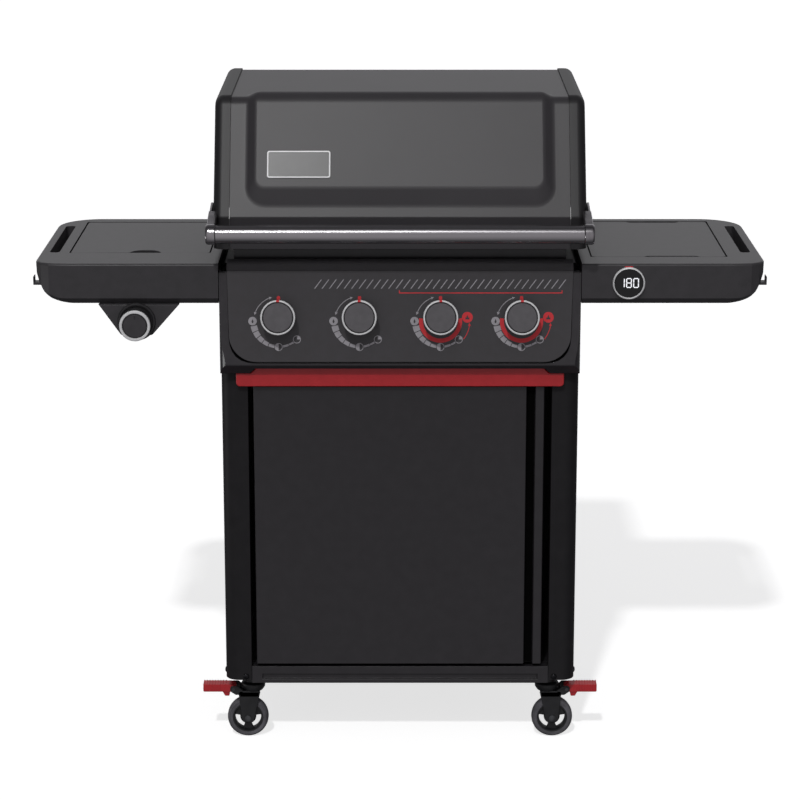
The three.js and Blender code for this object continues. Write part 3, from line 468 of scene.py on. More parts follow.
def folded_sheet(path, folds, axis, low, high, thickness, steps=6):
    """A sheet that follows a path [u, v] across an axis. Each inner corner is folded to the
    radius given for it, and the sheet is thickened to the left of the path."""
    sheet = bmesh.new()
    edges = chain(sheet, [(u, v, low) for u, v in path])[1]
    made = bmesh.ops.extrude_edge_only(sheet, edges=edges)
    bmesh.ops.translate(sheet, vec=(0, 0, high - low), verts=verts_in(made))
    corners = [Vector((u, v, 0)) for u, v in path[1:-1]]
    for corner, radius in zip(corners, folds):
        fold = [
            e for e in sheet.edges
            if all((Vector((v.co.x, v.co.y, 0)) - corner).length < 0.001 for v in e.verts)
        ]
        round_edges(sheet, fold, radius, steps, False)
    bmesh.ops.recalc_face_normals(sheet, faces=sheet.faces)
    start = min(sheet.faces, key=lambda f: (f.calc_center_median().xy - Vector(path[0])).length)
    along = Vector(path[1]) - Vector(path[0])
    left = Vector((-along.y, along.x, 0))
    if start.normal.dot(left) > 0:
        bmesh.ops.reverse_faces(sheet, faces=sheet.faces)
    bmesh.ops.solidify(sheet, geom=sheet.faces[:], thickness=thickness)
    bmesh.ops.transform(sheet, matrix=LIE_ALONG[axis].to_4x4(), verts=sheet.verts)
    return sheet


for name, side in SIDES:
    plan = [
        (CART_HALF_WIDTH - 48.5, CART_FRONT + 24), (CART_HALF_WIDTH - 48.5, CART_FRONT),
        (CART_HALF_WIDTH, CART_FRONT), (CART_HALF_WIDTH, CART_BACK),
        (CART_HALF_WIDTH - 20, CART_BACK),
    ]
    panel = folded_sheet(plan, (1.2, 25, 2), "z", CART_BOTTOM, CART_TOP, CART_SHEET, 10)
    ledge = box((262, 320), (-190, 225), (705.2, 706.7))
    flange = box((300, 320), (-150, 200), (CART_TOP - CART_SHEET, CART_TOP))
    shapes = [moved(shape, side=side) for shape in (panel, ledge, flange)]
    finish_piece(f"side_panel_{name}", shapes, side_panel_shaded_coat, "cart", "powder_coat", f"cart_side_{name}")

for node in ("cart_back_panel", "cart_floor_panel", "front_top_rail"):
    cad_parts[node].data.materials[0] = powder_coat


def bottom_rail():
    """A folded channel with a long groove pressed along its face."""
    half, face, depth = 272, CART_FRONT + 0.5, 24
    rail = bmesh.new()
    rows = [(depth, 150.3), (0, 150.3), (0, 135.6), (0, 125.6), (0, 118), (depth, 118)]
    edges = chain(rail, [(-half, face + back, z) for back, z in rows])[1]
    made = bmesh.ops.extrude_edge_only(rail, edges=edges)
    bmesh.ops.translate(rail, vec=(2 * half, 0, 0), verts=verts_in(made))
    for x in (-253, 253):
        bmesh.ops.bisect_plane(
            rail, geom=rail.faces[:] + rail.edges[:] + rail.verts[:], plane_co=(x, 0, 0),
            plane_no=(1, 0, 0),
        )
    groove = [
        f for f in rail.faces
        if abs(f.calc_center_median().x) < 1 and abs(f.calc_center_median().z - 130.6) < 1
    ]
    bmesh.ops.inset_region(rail, faces=groove, thickness=1.0, depth=0)
    bmesh.ops.translate(rail, vec=(0, 4, 0), verts=list({v for f in groove for v in f.verts}))
    folds = [e for e in rail.edges if len(e.link_faces) == 2 and e.calc_face_angle(0) > 0.8]
    round_edges(rail, folds, 0.8, 3)
    give_thickness(rail, 1.2)
    return rail


finish_piece(
    "bottom_rail_channel", [bottom_rail()], powder_coat, "cart", "powder_coat", "front_bottom_rail"
)
# A folded strip covers the joint between the floor and the back panel.
flange = folded_sheet([(222, 151.4), (232.3, 151.4), (232.3, 166)], (2,), "x", -300, 300, 1.2)
finish_piece("back_panel_flange", [flange], powder_coat, "cart", "powder_coat")

# Black oxide steel: dome-headed screws with a socket, four in each side and one in each post.
black_oxide = grained("black_oxide_steel", "#1b1b1d", "#2d2d30", 0.7, 0.01, 0.3, Metallic=0.8)
dome = [(0, -0.5), (5.6, -0.5), (5.6, 0.4), (5.1, 1.7), (3.9, 2.7), (2.2, 3.2), (2.2, 1.4), (0, 1.4)]
screws = []
for name, side in SIDES:
    outward = [(radius, side * height) for radius, height in dome]
    for y, z in ((-180, 131), (200, 131), (-180, 860), (200, 860)):
        screws.append(turned(outward, "x", (side * CART_HALF_WIDTH, y, z), 0, 24))
    forward = [(radius, -height) for radius, height in dome]
    screws.append(turned(forward, "y", (side * 283, CART_FRONT, 130.8), 0, 24))
finish_piece("cabinet_screws", screws, black_oxide, "cart", "stainless")

# -------------------------------------------------------------------------------- door
# The door is a shallow steel pan, powder coated like the cart. A full-height finger channel
# near its free edge is its handle, and it hangs on hidden pins at the left.

DOOR_LEFT, DOOR_RIGHT, DOOR_BOTTOM, DOOR_TOP = -263, 259, 157, 681
DOOR_FRONT, DOOR_DEPTH, DOOR_SHEET = -222, 20, 1.2
CHANNEL_LEFT, CHANNEL_RIGHT, CHANNEL_DEPTH = 227, 243, 11

DOOR_BACK = DOOR_FRONT + DOOR_DEPTH
channel_back = DOOR_FRONT + CHANNEL_DEPTH
door_plan = [
    (DOOR_RIGHT - 12, DOOR_BACK), (DOOR_RIGHT, DOOR_BACK), (DOOR_RIGHT, DOOR_FRONT),
    (CHANNEL_RIGHT, DOOR_FRONT), (CHANNEL_RIGHT, channel_back), (CHANNEL_LEFT, channel_back),
    (CHANNEL_LEFT, DOOR_FRONT), (DOOR_LEFT, DOOR_FRONT), (DOOR_LEFT, DOOR_BACK),
    (DOOR_LEFT + 12, DOOR_BACK),
]
door_folds = (1.5, 2.2, 1.6, 1.6, 1.6, 1.6, 2.2, 1.5)
door_sheet = folded_sheet(door_plan, door_folds, "z", DOOR_BOTTOM, DOOR_TOP, -DOOR_SHEET, 4)
door_ends = [
    box(xs, (DOOR_FRONT + 0.4, DOOR_BACK), zs, 0.4)
    for xs in ((DOOR_LEFT + 1, CHANNEL_LEFT - 1), (CHANNEL_RIGHT + 1, DOOR_RIGHT - 1))
    for zs in ((DOOR_BOTTOM + 0.2, DOOR_BOTTOM + 1.4), (DOOR_TOP - 1.4, DOOR_TOP - 0.2))
]
finish_piece("door_pan", [door_sheet] + door_ends, powder_coat, "door", "powder_coat", "door")

# Painted shade: a matt near-black sheet lines the finger channel and stands in for the deep shadow inside it.
channel_shade_sheet = grained(
    "painted_channel_shade", "#030303", "#050505", 0.6, 0.02, 0.95, Specular_IOR_Level=0.05
)
shade_sheet_back = channel_back - DOOR_SHEET - 0.1
shade_sheet_zs = (DOOR_BOTTOM + 1, DOOR_TOP - 1)
channel_shade_boxes = [
    box((CHANNEL_LEFT + 1.3, CHANNEL_RIGHT - 1.3), (shade_sheet_back - 1.1, shade_sheet_back), shade_sheet_zs, 0.3),
    box((CHANNEL_LEFT + 0.1, CHANNEL_LEFT + 1.1), (DOOR_FRONT + 2.4, shade_sheet_back), shade_sheet_zs, 0.3),
]
finish_piece("door_channel_painted_shade", channel_shade_boxes, channel_shade_sheet, "door", "powder_coat")

# -------------------------------------------------------------------------- grease tray
# A pressed aluminium pan slides on the side panels' ledges. Its moulded red nylon front steps
# down at each end to pass under the panel surround's feet.

# Mill-finish aluminium: soft grey with faint rolling marks.
mill_aluminium = grained("mill_finish_aluminium", "#8b8b8c", "#a7a7a8", 1.2, 0.01, 0.42, Metallic=1.0)

tray = bmesh.new()
bmesh.ops.create_cube(tray, size=1)
bmesh.ops.scale(tray, vec=(516, 445.5, 18.2), verts=tray.verts)
bmesh.ops.translate(tray, vec=(0, 2.25, 699.1), verts=tray.verts)
bmesh.ops.delete(tray, geom=[f for f in tray.faces if f.normal.z > 0.5], context="FACES_ONLY")
round_edges(tray, [e for e in tray.edges if len(e.link_faces) == 2], 5, 4, False)
give_thickness(tray, 1.2)
tray_rims = [box((side * 256.5, side * 268), (-190, 225), (707, 708.2), 0.3) for _, side in SIDES]
finish_piece(
    "grease_pan", [tray] + tray_rims, mill_aluminium, "grease_drawer", "cast_aluminium",
    "grease_tray",
)

tray_front = [
    [-293, 684, 7], [293, 684, 7], [293, 709, 2], [266, 709, 4], [256, 719, 4],
    [-256, 719, 4], [-266, 709, 4], [-293, 709, 2],
]
finish_piece(
    "grease_tray_handle", [plate(tray_front, "y", -232, -220.8, 2.2, 4)], red_nylon,
    "grease_drawer", "red_nylon", "grease_tray_front",
)

# ------------------------------------------------------------------------------ cook box
# The cook box is black enamelled steel, open above and below. Four stainless burner tubes cross
# it under folded heat bars, with two cast-iron grates and a wire warming rack above them.

BURNER_XS = [place * 143.5 for place in (-1.5, -0.5, 0.5, 1.5)]
BURNER_Z = 806
GRATE_Y, GRATE_Z = (-188, 221), (890.3, 905)

# Vitreous enamel baked on steel: glassy black, hazed by heat and grease.
box_enamel = grained("heat_hazed_black_enamel", "#161618", "#232225", 2.5, 0.02, 0.3)
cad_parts["cook_box"].data.materials[0] = box_enamel
# Stainless steel over a flame: straw and brown heat tint on a satin grey.
tinted_steel = grained("heat_tinted_stainless", "#7c7266", "#a7a39c", 3.0, 0.01, 0.34, Metallic=1.0)
# Sand-cast iron with a matt enamel: near black with a pebbled skin.
cast_iron = grained("enamelled_cast_iron", "#1a1a1c", "#2b2b2d", 1.5, 0.12, 0.5)
# Bright drawn wire, chrome plated.
chromed_wire = grained("chromed_wire", "#a9a9aa", "#c4c4c5", 1.0, 0.005, 0.2, Metallic=1.0)
# Painted shade: a near-black disc on the tube stands for the dark hole of each gas port.
painted_port_shade = grained("painted_port_shade", "#0c0c0d", "#19181a", 0.5, 0.01, 0.7)

for index, x in enumerate(BURNER_XS, 1):
    pipe = [
        (11, -198), (12.5, -198), (12.5, 193), (11.6, 197), (9, 199.4), (5, 200), (0, 200),
        (0, 198.5), (5, 198.4), (9, 196), (11, 192), (11, -198),
    ]
    tube = turned(pipe, "y", (x, 0, BURNER_Z))
    finish_piece(
        f"burner_pipe_{index}", [tube], tinted_steel, "cart", "stainless", f"burner_tube_{index}"
    )
    ports = []
    for port in range(28):
        for side in (-1, 1):
            dot = turned([(0, 12.2), (1.4, 12.2), (1.4, 12.6), (0, 12.6)], "z", (0, 0, 0), 0, 8)
            bmesh.ops.rotate(dot, matrix=Matrix.Rotation(side * radians(60), 3, "Y"), verts=dot.verts)
            ports.append(moved(dot, x, -165 + port * 12.6, BURNER_Z))
    finish_piece(f"burner_ports_{index}", ports, painted_port_shade, "cart", "stainless")
    roof = [(x - 44, 826), (x - 44, 832), (x, 862), (x + 44, 832), (x + 44, 826)]
    bar = folded_sheet(roof, (1.5, 3, 1.5), "y", -188, 222, -1.5)
    finish_piece(
        f"heat_bar_roof_{index}", [bar], tinted_steel, "cart", "stainless", f"heat_bar_{index}"
    )

for name, side in SIDES:
    bars = []
    for bar in range(10):
        x = 1.5 + bar * 31.28
        bars.append(box((x, x + 9), GRATE_Y, GRATE_Z, 1.8, 3))
    for y in (-188, 12, 212):
        bars.append(box((1.5, 292), (y, y + 9), (GRATE_Z[0], 903), 1.8, 3))
    bars = [moved(bar, side=side) for bar in bars]
    finish_piece(f"grate_bars_{name}", bars, cast_iron, "cart", "cast_iron", f"cooking_grate_{name}")


def wire(axis, centre, low, high, radius):
    """A straight round wire with rounded ends."""
    tip = radius * 0.4
    profile = [(0, low), (radius - tip, low), (radius, low + tip)]
    profile += [(radius, high - tip), (radius - tip, high), (0, high)]
    return turned(profile, axis, centre, 0, 12)


rack = [wire("y", ((step - 6) * 44, 0, 998), 61, 189, 1.5) for step in range(13)]
for y in (62.5, 187.5):
    rack.append(wire("x", (0, y, 997.5), -298, 298, 2.5))
    for side in (-1, 1):
        rack.append(wire("z", (side * 295.5, y, 0), 926.3, 999, 2.5))
for side in (-1, 1):
    rack.append(wire("y", (side * 295.5, 0, 928.6), 60, 190, 2.3))
finish_piece("warming_rack_wires", rack, chromed_wire, "cart", "stainless", "warming_rack")

# ------------------------------------------------------------------------- control panel
# A folded steel fascia, painted charcoal and pad printed with scales, sits in a moulded black
# surround that is clipped over the cart's posts. Brass valves on a gas pipe stand behind it.

LEAN = atan2(25, 161)
FACE_Y, FACE_Z = -255 + 25 / 161 * (814.6 - 735), 814.6

# Satin paint on steel: charcoal, with a fine even texture.
fascia_paint = grained("charcoal_satin_paint", "#393739", "#3c3a3d", 1.1, 0.01, 0.42)
# Moulded polypropylene: black, finely spark-textured.
surround_plastic = grained("moulded_black_polypropylene", "#2c2a2d", "#312f32", 1.0, 0.01, 0.24)
# Machined brass: yellow, lightly tarnished.
machined_brass = grained("machined_brass", "#8d6d35", "#b08d4e", 1.8, 0.01, 0.32, Metallic=1.0)
# Pad-printing inks: flat light grey and flat red, with a slightly uneven film.
grey_ink = grained("light_grey_printing_ink", "#98959a", "#a5a2a7", 0.8, 0.004, 0.6)
red_ink = grained("red_printing_ink", "#c92a30", "#d63038", 0.8, 0.004, 0.55)

for node in ["gas_manifold", "side_valve_stem"] + [f"valve_stem_{k}" for k in (1, 2, 3, 4)]:
    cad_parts[node].data.materials[0] = machined_brass


def softened_copy(node, edge, sharper_than=30):
    """A CAD node's shape in millimetres, with its flat faces whole and its edges rounded."""
    shape = bmesh.new()
    shape.from_mesh(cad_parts[node].data)
    bmesh.ops.scale(shape, vec=(1000, 1000, 1000), verts=shape.verts)
    bmesh.ops.remove_doubles(shape, verts=shape.verts, dist=0.02)
    bmesh.ops.dissolve_limit(
        shape, angle_limit=radians(1.5), use_dissolve_boundaries=False, verts=shape.verts[:],
        edges=shape.edges[:], delimit=set(),
    )
    return soften(shape, edge, 2, sharper_than)


finish_piece(
    "surround_moulding", [softened_copy("panel_surround", 1.0)], surround_plastic, "cart",
    "moulding", "panel_surround",
)


def on_panel(shape, x, z=FACE_Z):
    """Stands a shape made face up on the leaning panel, at a place on its face."""
    bmesh.ops.rotate(shape, matrix=Matrix.Rotation(pi / 2 - LEAN, 3, "X"), verts=shape.verts)
    return moved(shape, x, -255 + 25 / 161 * (z - 735), z)


face_corners = [[-301.8, -81, 48], [301.8, -81, 48], [306.8, 82], [-306.8, 82]]
face = on_panel(plate(face_corners, "z", -2, 0, 0.9, 3, 14), 0)
brow = folded_sheet([(-230, 896), (-221, 908), (-204, 911)], (5,), "x", -306.8, 306.8, -2)
finish_piece("fascia_face", [face, brow], fascia_paint, "cart", "fascia_coat", "control_panel")


def sector(inner, outer, start, end, low=-0.02, high=0.12):
    """A printed band between two radii, from one bearing to another, in degrees from 3 o'clock."""
    shape = bmesh.new()
    ends = [shape.verts.new((radius, 0, 0)) for radius in (inner, outer)]
    across = shape.edges.new(ends)
    bmesh.ops.rotate(shape, matrix=Matrix.Rotation(radians(start), 3, "Z"), verts=ends)
    bmesh.ops.spin(
        shape, geom=[*ends, across], cent=(0, 0, 0), axis=(0, 0, 1), dvec=(0, 0, 0),
        angle=radians(end - start), steps=max(2, round(abs(end - start) / 5)), use_merge=False,
    )
    return thicken(shape, "z", low, high)


def disc(radius, centre_radius, bearing, low=-0.02, high=0.12, steps=28):
    """A printed disc centred at a radius and a bearing from 3 o'clock."""
    shape = bmesh.new()
    bmesh.ops.create_circle(shape, cap_ends=True, segments=steps, radius=radius)
    place = Matrix.Rotation(radians(bearing), 3, "Z") @ Vector((centre_radius, 0, 0))
    bmesh.ops.translate(shape, vec=place, verts=shape.verts)
    return thicken(shape, "z", low, high)


def at_bearing(shape, radius, bearing):
    """Moves a shape made at the middle out to a radius and a bearing, without turning it."""
    place = Matrix.Rotation(radians(bearing), 3, "Z") @ Vector((radius, 0, 0))
    bmesh.ops.translate(shape, vec=place, verts=shape.verts)
    return shape


PRINT_DROP = 8
LIGHT_BEARING, HALF_BEARING, QUARTER_BEARING, SEAR_BEARING = 180, 270, 315, 8

for index, x in enumerate(BURNER_XS, 1):
    greys = [disc(7.6, 46, LIGHT_BEARING)]
    for part in range(5):
        start = 191 + part * 14.2
        greys.append(sector(38.8 + part, 50.4 - 0.5 * part, start, start + 12.6))
    greys.append(sector(43.8, 47.6, 279.5, 293))
    greys.append(sector(44.2, 47.4, 294, 305))
    greys.append(at_bearing(sector(0, 7, 90, 270, -0.02, 0.14), 46, HALF_BEARING))
    greys.append(at_bearing(sector(5.9, 7, -90, 90), 46, HALF_BEARING))
    greys.append(at_bearing(sector(5.9, 7, 0, 359.9), 46, QUARTER_BEARING))
    greys.append(at_bearing(sector(0, 5.9, 0, 90, -0.02, 0.14), 46, QUARTER_BEARING))
    greys.append(sector(43.2, 44.5, 113, 158))
    for bearing, lean_by in ((109.5, 19.5), (161.5, 251.5)):
        tip = outline([[0, 3.2], [-2.6, -2], [2.6, -2]])
        bmesh.ops.rotate(tip, matrix=Matrix.Rotation(radians(lean_by - 90), 3, "Z"), verts=tip.verts)
        greys.append(thicken(at_bearing(tip, 43.8, bearing), "z", -0.02, 0.12))
    reds = [plate([[-3, 33, 1.4], [3, 33, 1.4], [3, 44.5, 2.4], [-3, 44.5, 2.4]], "z", -0.02, 0.2)]
    spark = [[-1.1, -3.4], [1.1, -3.4], [1.8, -0.6, 1], [0, 3.8], [-1.8, -0.6, 1]]
    darks = [at_bearing(plate(spark, "z", 0, 0.2), 46, LIGHT_BEARING)]
    if index > 2:
        reds.append(sector(31, 38.4, 172, 368))
        reds.append(disc(9.6, 48, SEAR_BEARING))
        reds.append(sector(51.2, 52.6, 322, 351))
        tip = outline([[0, 3.4], [-2.6, -2], [2.6, -2]])
        reds.append(thicken(at_bearing(tip, 51.6, 353), "z", -0.02, 0.12))
        flame = [[-3.4, -3.6], [3.4, -3.6], [4, 0.4, 1], [1.9, -0.6], [0, 4.4], [-1.9, -0.6], [-4, 0.4, 1]]
        darks.append(at_bearing(plate(flame, "z", 0, 0.2), 48, SEAR_BEARING))
    for shapes, ink, kind in (
        (greys, grey_ink, "scale"), (reds, red_ink, "mark"), (darks, fascia_paint, "flame"),
    ):
        laid = []
        for shape in shapes:
            bmesh.ops.translate(shape, vec=(0, -PRINT_DROP, 0), verts=shape.verts)
            laid.append(on_panel(shape, x))
        finish_piece(f"printed_{kind}_{index}", laid, ink, "cart", "fascia_coat")

strokes = []
for stroke in range(34):
    x = -152 + stroke * 13.1
    slash = plate([[x, -8], [x + 1.9, -8], [x + 13.9, 8], [x + 12, 8]], "z", -0.02, 0.12)
    strokes.append(on_panel(slash, 0, 871.5))
finish_piece("printed_hatch", strokes, grey_ink, "cart", "fascia_coat")
rule = [plate([[-1.9, -0.9], [287.6, -0.9], [287.6, 0.9], [-1.9, 0.9]], "z", -0.02, 0.12)]
for x in (-1.9, 285.8):
    rule.append(plate([[x, -0.9], [x + 1.8, -0.9], [x + 1.8, 4.6], [x, 4.6]], "z", -0.02, 0.14))
rule = [on_panel(shape, 0, 856) for shape in rule]
finish_piece("printed_rule", rule, red_ink, "cart", "fascia_coat")

# -------------------------------------------------------------------------------- knobs
# Each knob is a moulded drum with a plated ring, painted bright as a reflection, round a grey face, and a red
# index on its ring. It is pressed on the flat of its brass valve stem, and pushes in 4 mm to turn.

# Moulded ABS: mid grey, satin, with a fine texture.
knob_face_plastic = grained("grey_satin_abs", "#565457", "#5e5c5f", 0.9, 0.012, 0.45)
# The side knob's face is moulded darker.
side_face_plastic = grained("dark_grey_satin_abs", "#343235", "#3a383b", 0.9, 0.012, 0.45)
# Moulded ABS for the drum: near black.
knob_drum_plastic = grained("black_satin_abs", "#1c1b1d", "#262527", 0.9, 0.012, 0.38)
# Satin chrome plate on the ring, bezel and badge: painted almost white with little metal in it, a painted
# reflection.
satin_chrome_painted_bright = grained("satin_chrome_painted_bright", "#d8d8d9", "#e6e6e7", 1.0, 0.002, 0.45, Metallic=0.15)


def knob_shapes(radius, height, ring_width):
    """A knob's drum, ring and face, made standing on the panel's face."""
    inside = radius - ring_width
    drum = [
        (4.2, 5), (radius - 2.5, 5), (radius - 1, 6.2), (radius - 0.4, 9), (radius - 0.8, height - 5),
        (inside - 0.6, height - 5), (inside - 0.6, height - 3), (0, height - 3), (0, 17), (4.2, 17), (4.2, 5),
    ]
    ring = [
        (inside, height - 6), (radius - 0.6, height - 6), (radius, height - 5), (radius, height - 1.4),
        (radius - 0.9, height - 0.2), (radius - 1.8, height), (inside + 0.8, height),
        (inside, height - 0.8), (inside, height - 6),
    ]
    face_radius = inside - 1.9
    face = [
        (0, height - 4), (face_radius, height - 4), (face_radius, height - 1.6),
        (face_radius - 0.8, height - 0.8), (face_radius * 0.6, height - 0.6), (0, height - 0.5),
    ]
    return [turned(profile, "z", (0, 0, 0), 0, 72) for profile in (drum, ring, face)]


def finish_knob(key, shapes, index, body, node, face_material=knob_face_plastic, index_material=red_ink):
    """Names a knob's pieces and fixes them to the body that turns."""
    drum, ring, face = shapes
    finish_piece(f"{key}_drum", [drum], knob_drum_plastic, body, "knob_plastic", node)
    finish_piece(f"{key}_ring", [ring], satin_chrome_painted_bright, body, "knob_plastic")
    finish_piece(f"{key}_face", [face], face_material, body, "knob_plastic")
    finish_piece(f"{key}_index", [index], index_material, body, "knob_plastic")


for index, x in enumerate(BURNER_XS, 1):
    shapes = [on_panel(shape, x) for shape in knob_shapes(31, 33, 3.3)]
    tab = plate([[-2.6, 27.6, 0.8], [2.6, 27.6, 0.8], [2.6, 31.3, 0.8], [-2.6, 31.3, 0.8]], "z", 29, 33.3)
    finish_knob(f"burner_knob_{index}", shapes, on_panel(tab, x), f"control_{index}", f"knob_{index}")

# ------------------------------------------------------------------------------ shelves
# Each shelf is a pressed steel shell with a powder-coated top, a recess for a flush cover or
# insert, a towel slot and a tool hook. It is bolted to the cart's side.

SHELF_INNER, SHELF_OUTER, SHELF_TOP = 321.8, 648, 908
SHELF_PLAN = [
    [SHELF_INNER, -235], [589, -235], [606, -234], [622, -231], [636, -223.5], [645, -211],
    [648, -194], [648, 205, 78], [SHELF_INNER, 205],
]
LIP, SLOT_DEPTH = 10, 56

# Textured powder coat: charcoal with a pebbled satin skin that greys at low angles.
shelf_coat = grained("textured_charcoal_powder_coat", "#313032", "#373538", 1.3, 0.012, 0.4)


def sweep_height(x):
    """Height of a shelf's underside at a distance from the middle."""
    ends = [Vector(p) for p in ((583, 836), (622, 841), (642, 850), (648, 896))]
    points = [Vector((583, 836))]
    for step in range(1, 41):
        t = step / 40
        weights = ((1 - t) ** 3, 3 * t * (1 - t) ** 2, 3 * t * t * (1 - t), t**3)
        points.append(sum((p * w for p, w in zip(ends, weights)), Vector((0, 0))))
    for low, high in zip(points, points[1:]):
        if low.x <= x <= high.x + 0.01:
            return low.y + (high.y - low.y) * (x - low.x) / (high.x - low.x)
    return 836 if x < 583 else 896


def loop_of(outlines, sheet):
    """Adds rounded outlines to a flat shape as edges only."""
    holder = bpy.data.meshes.new("outline")
    for corners in outlines:
        ring = outline(corners, 5)
        bmesh.ops.delete(ring, geom=ring.faces[:], context="FACES_ONLY")
        bmesh.ops.translate(ring, vec=(0, 0, SHELF_TOP), verts=ring.verts)
        ring.to_mesh(holder)
        ring.free()
        sheet.from_mesh(holder)
    bpy.data.meshes.remove(holder)


def shelf_shell(recess, depth, grip):
    """A right-hand shelf around a recess [x, y limits], a given depth below its top."""
    (x0, x1), (y0, y1) = recess
    shell = plate(SHELF_PLAN, "z", 836 + LIP, SHELF_TOP, steps=14)
    rim = [
        e for e in shell.edges
        if all(v.co.z > SHELF_TOP - 0.1 for v in e.verts)
        and not all(v.co.x < SHELF_INNER + 0.1 for v in e.verts)
    ]
    round_edges(shell, rim, 4.5, 10)
    for x in (583, 591, 599, 614, 629, 640):
        walls = [f for f in shell.faces if abs(f.normal.z) < 0.5]
        geom = walls + list({e for f in walls for e in f.edges}) + list({v for f in walls for v in f.verts})
        bmesh.ops.bisect_plane(shell, geom=geom, plane_co=(x, 0, 0), plane_no=(1, 0, 0))
    bottom = [f for f in shell.faces if f.normal.z < -0.5 and f.calc_center_median().z < 836 + LIP + 1]
    bmesh.ops.delete(shell, geom=bottom, context="FACES_ONLY")
    made = bmesh.ops.extrude_edge_only(shell, edges=[e for e in shell.edges if e.is_boundary])
    for vert in verts_in(made):
        vert.co.z -= LIP
        vert.co.x = SHELF_INNER + (vert.co.x - SHELF_INNER) * 0.986
        vert.co.y *= 0.97
    for vert in shell.verts:
        lowest = sweep_height(vert.co.x)
        if vert.co.z < 837:
            vert.co.z = lowest
        elif vert.co.z < 836 + LIP + 1:
            vert.co.z = max(vert.co.z, min(lowest + 7, SHELF_TOP - 5))
    top = [f for f in shell.faces if f.normal.z > 0.9 and f.calc_center_median().z > SHELF_TOP - 0.1]
    bmesh.ops.delete(shell, geom=top, context="FACES_ONLY")
    old = set(shell.edges)
    openings = [
        [[x0, y0, 3], [x1, y0, 3], [x1, y1, 3], [x0, y1, 3]],
        [[grip[0], -130, 7], [grip[1], -130, 7], [grip[1], 128, 7], [grip[0], 128, 7]],
    ]
    loop_of(openings, shell)
    rings = [e for e in shell.edges if e not in old]
    brim = [
        e for e in shell.edges
        if e in old and e.is_boundary and min(v.co.z for v in e.verts) > SHELF_TOP - 0.1
    ]
    bmesh.ops.triangle_fill(shell, use_beauty=True, use_dissolve=False, edges=brim + rings)
    made = bmesh.ops.extrude_edge_only(shell, edges=rings)
    dropped = verts_in(made)
    ledge = []
    for vert in dropped:
        in_slot = vert.co.x > grip[0] - 1
        vert.co.z -= SLOT_DEPTH if in_slot else depth
        if not in_slot:
            ledge.append(vert)
    floor_edges = [
        e for e in made["geom"]
        if isinstance(e, bmesh.types.BMEdge) and e.is_boundary and all(v in ledge for v in e.verts)
    ]
    made = bmesh.ops.extrude_edge_only(shell, edges=floor_edges)
    for vert in verts_in(made):
        vert.co.x += 13 if vert.co.x < (x0 + x1) / 2 else -13
        vert.co.y += 13 if vert.co.y < (y0 + y1) / 2 else -13
    bmesh.ops.remove_doubles(shell, verts=shell.verts, dist=0.01)
    bmesh.ops.recalc_face_normals(shell, faces=shell.faces)
    flat = next(
        f for f in shell.faces
        if f.calc_center_median().z > SHELF_TOP - 0.1 and abs(f.normal.z) > 0.9
    )
    if flat.normal.z < 0:
        bmesh.ops.reverse_faces(shell, faces=shell.faces)
    loose = [e for e in shell.edges if not e.link_faces]
    bmesh.ops.delete(shell, geom=loose, context="EDGES")
    bmesh.ops.solidify(shell, geom=shell.faces[:], thickness=1.5)
    return shell


hook = [[637, 866], [651.5, 866, 1], [651.5, 881], [649.7, 881], [649.7, 871], [637, 871]]
for name, side, recess, depth in (
    ("left", -1, ((340.8, 596.2), (-133.2, 170.2)), 18),
    ("right", 1, ((340.8, 586.2), (-170.2, 177.2)), 5.3),
):
    shapes = [moved(shelf_shell(recess, depth, (614, 632)), side=side)]
    shapes.append(moved(plate(hook, "y", -215, -195, 0.4), side=side))
    finish_piece(
        f"shelf_shell_{name}", shapes, shelf_coat, "cart", "shelf_coat", f"{name}_shelf",
        smooth_below=9,
    )

insert_outline = [
    [343, -168, 8], [437, -168], [443, -160, 6], [531, -160, 6], [537, -168], [584, -168, 8],
    [584, 174, 8], [532, 174], [526, 166, 6], [438, 166, 6], [432, 174], [343, 174, 8],
]
finish_piece(
    "shelf_insert_plate", [plate(insert_outline, "z", 903, 907.7, 1.2, 3)], shelf_coat, "cart",
    "shelf_coat", "right_shelf_insert",
)

# ------------------------------------------------------------------------- side burner
# A flush steel cover closes over a cast burner head in an enamelled bowl, and a cast-iron pan
# support stands round it. Its control hangs below the shelf in a folded bracket.

COVER_X, COVER_Y, COVER_Z = (343, 593.8), (-132, 167), (898, 907.7)
HEAD_X, HEAD_Y = -468.5, 18
SIDE_KNOB_X, SIDE_KNOB_Z, BRACKET_Y = -467, 805, -240

notch = [
    [459 + 28 * cos(radians(bearing)), -134 + 28 * sin(radians(bearing))]
    for bearing in range(176, 3, -8)
]
cover_outline = [[COVER_X[0], COVER_Y[0], 6], *notch, [COVER_X[1], COVER_Y[0], 6]]
cover_outline += [[COVER_X[1], COVER_Y[1], 6], [COVER_X[0], COVER_Y[1], 6]]
cover = plate(cover_outline, "z", *COVER_Z)
bmesh.ops.recalc_face_normals(cover, faces=cover.faces)
bmesh.ops.delete(cover, geom=[f for f in cover.faces if f.normal.z < -0.5], context="FACES_ONLY")
top_rim = [e for e in cover.edges if all(v.co.z > COVER_Z[1] - 0.1 for v in e.verts)]
round_edges(cover, top_rim, 1.2, 3)
give_thickness(cover, 1.5)
finish_piece(
    "side_burner_cover_pan", [moved(cover, side=-1)], shelf_coat, "side_burner_cover",
    "shelf_coat", "side_burner_lid",
)

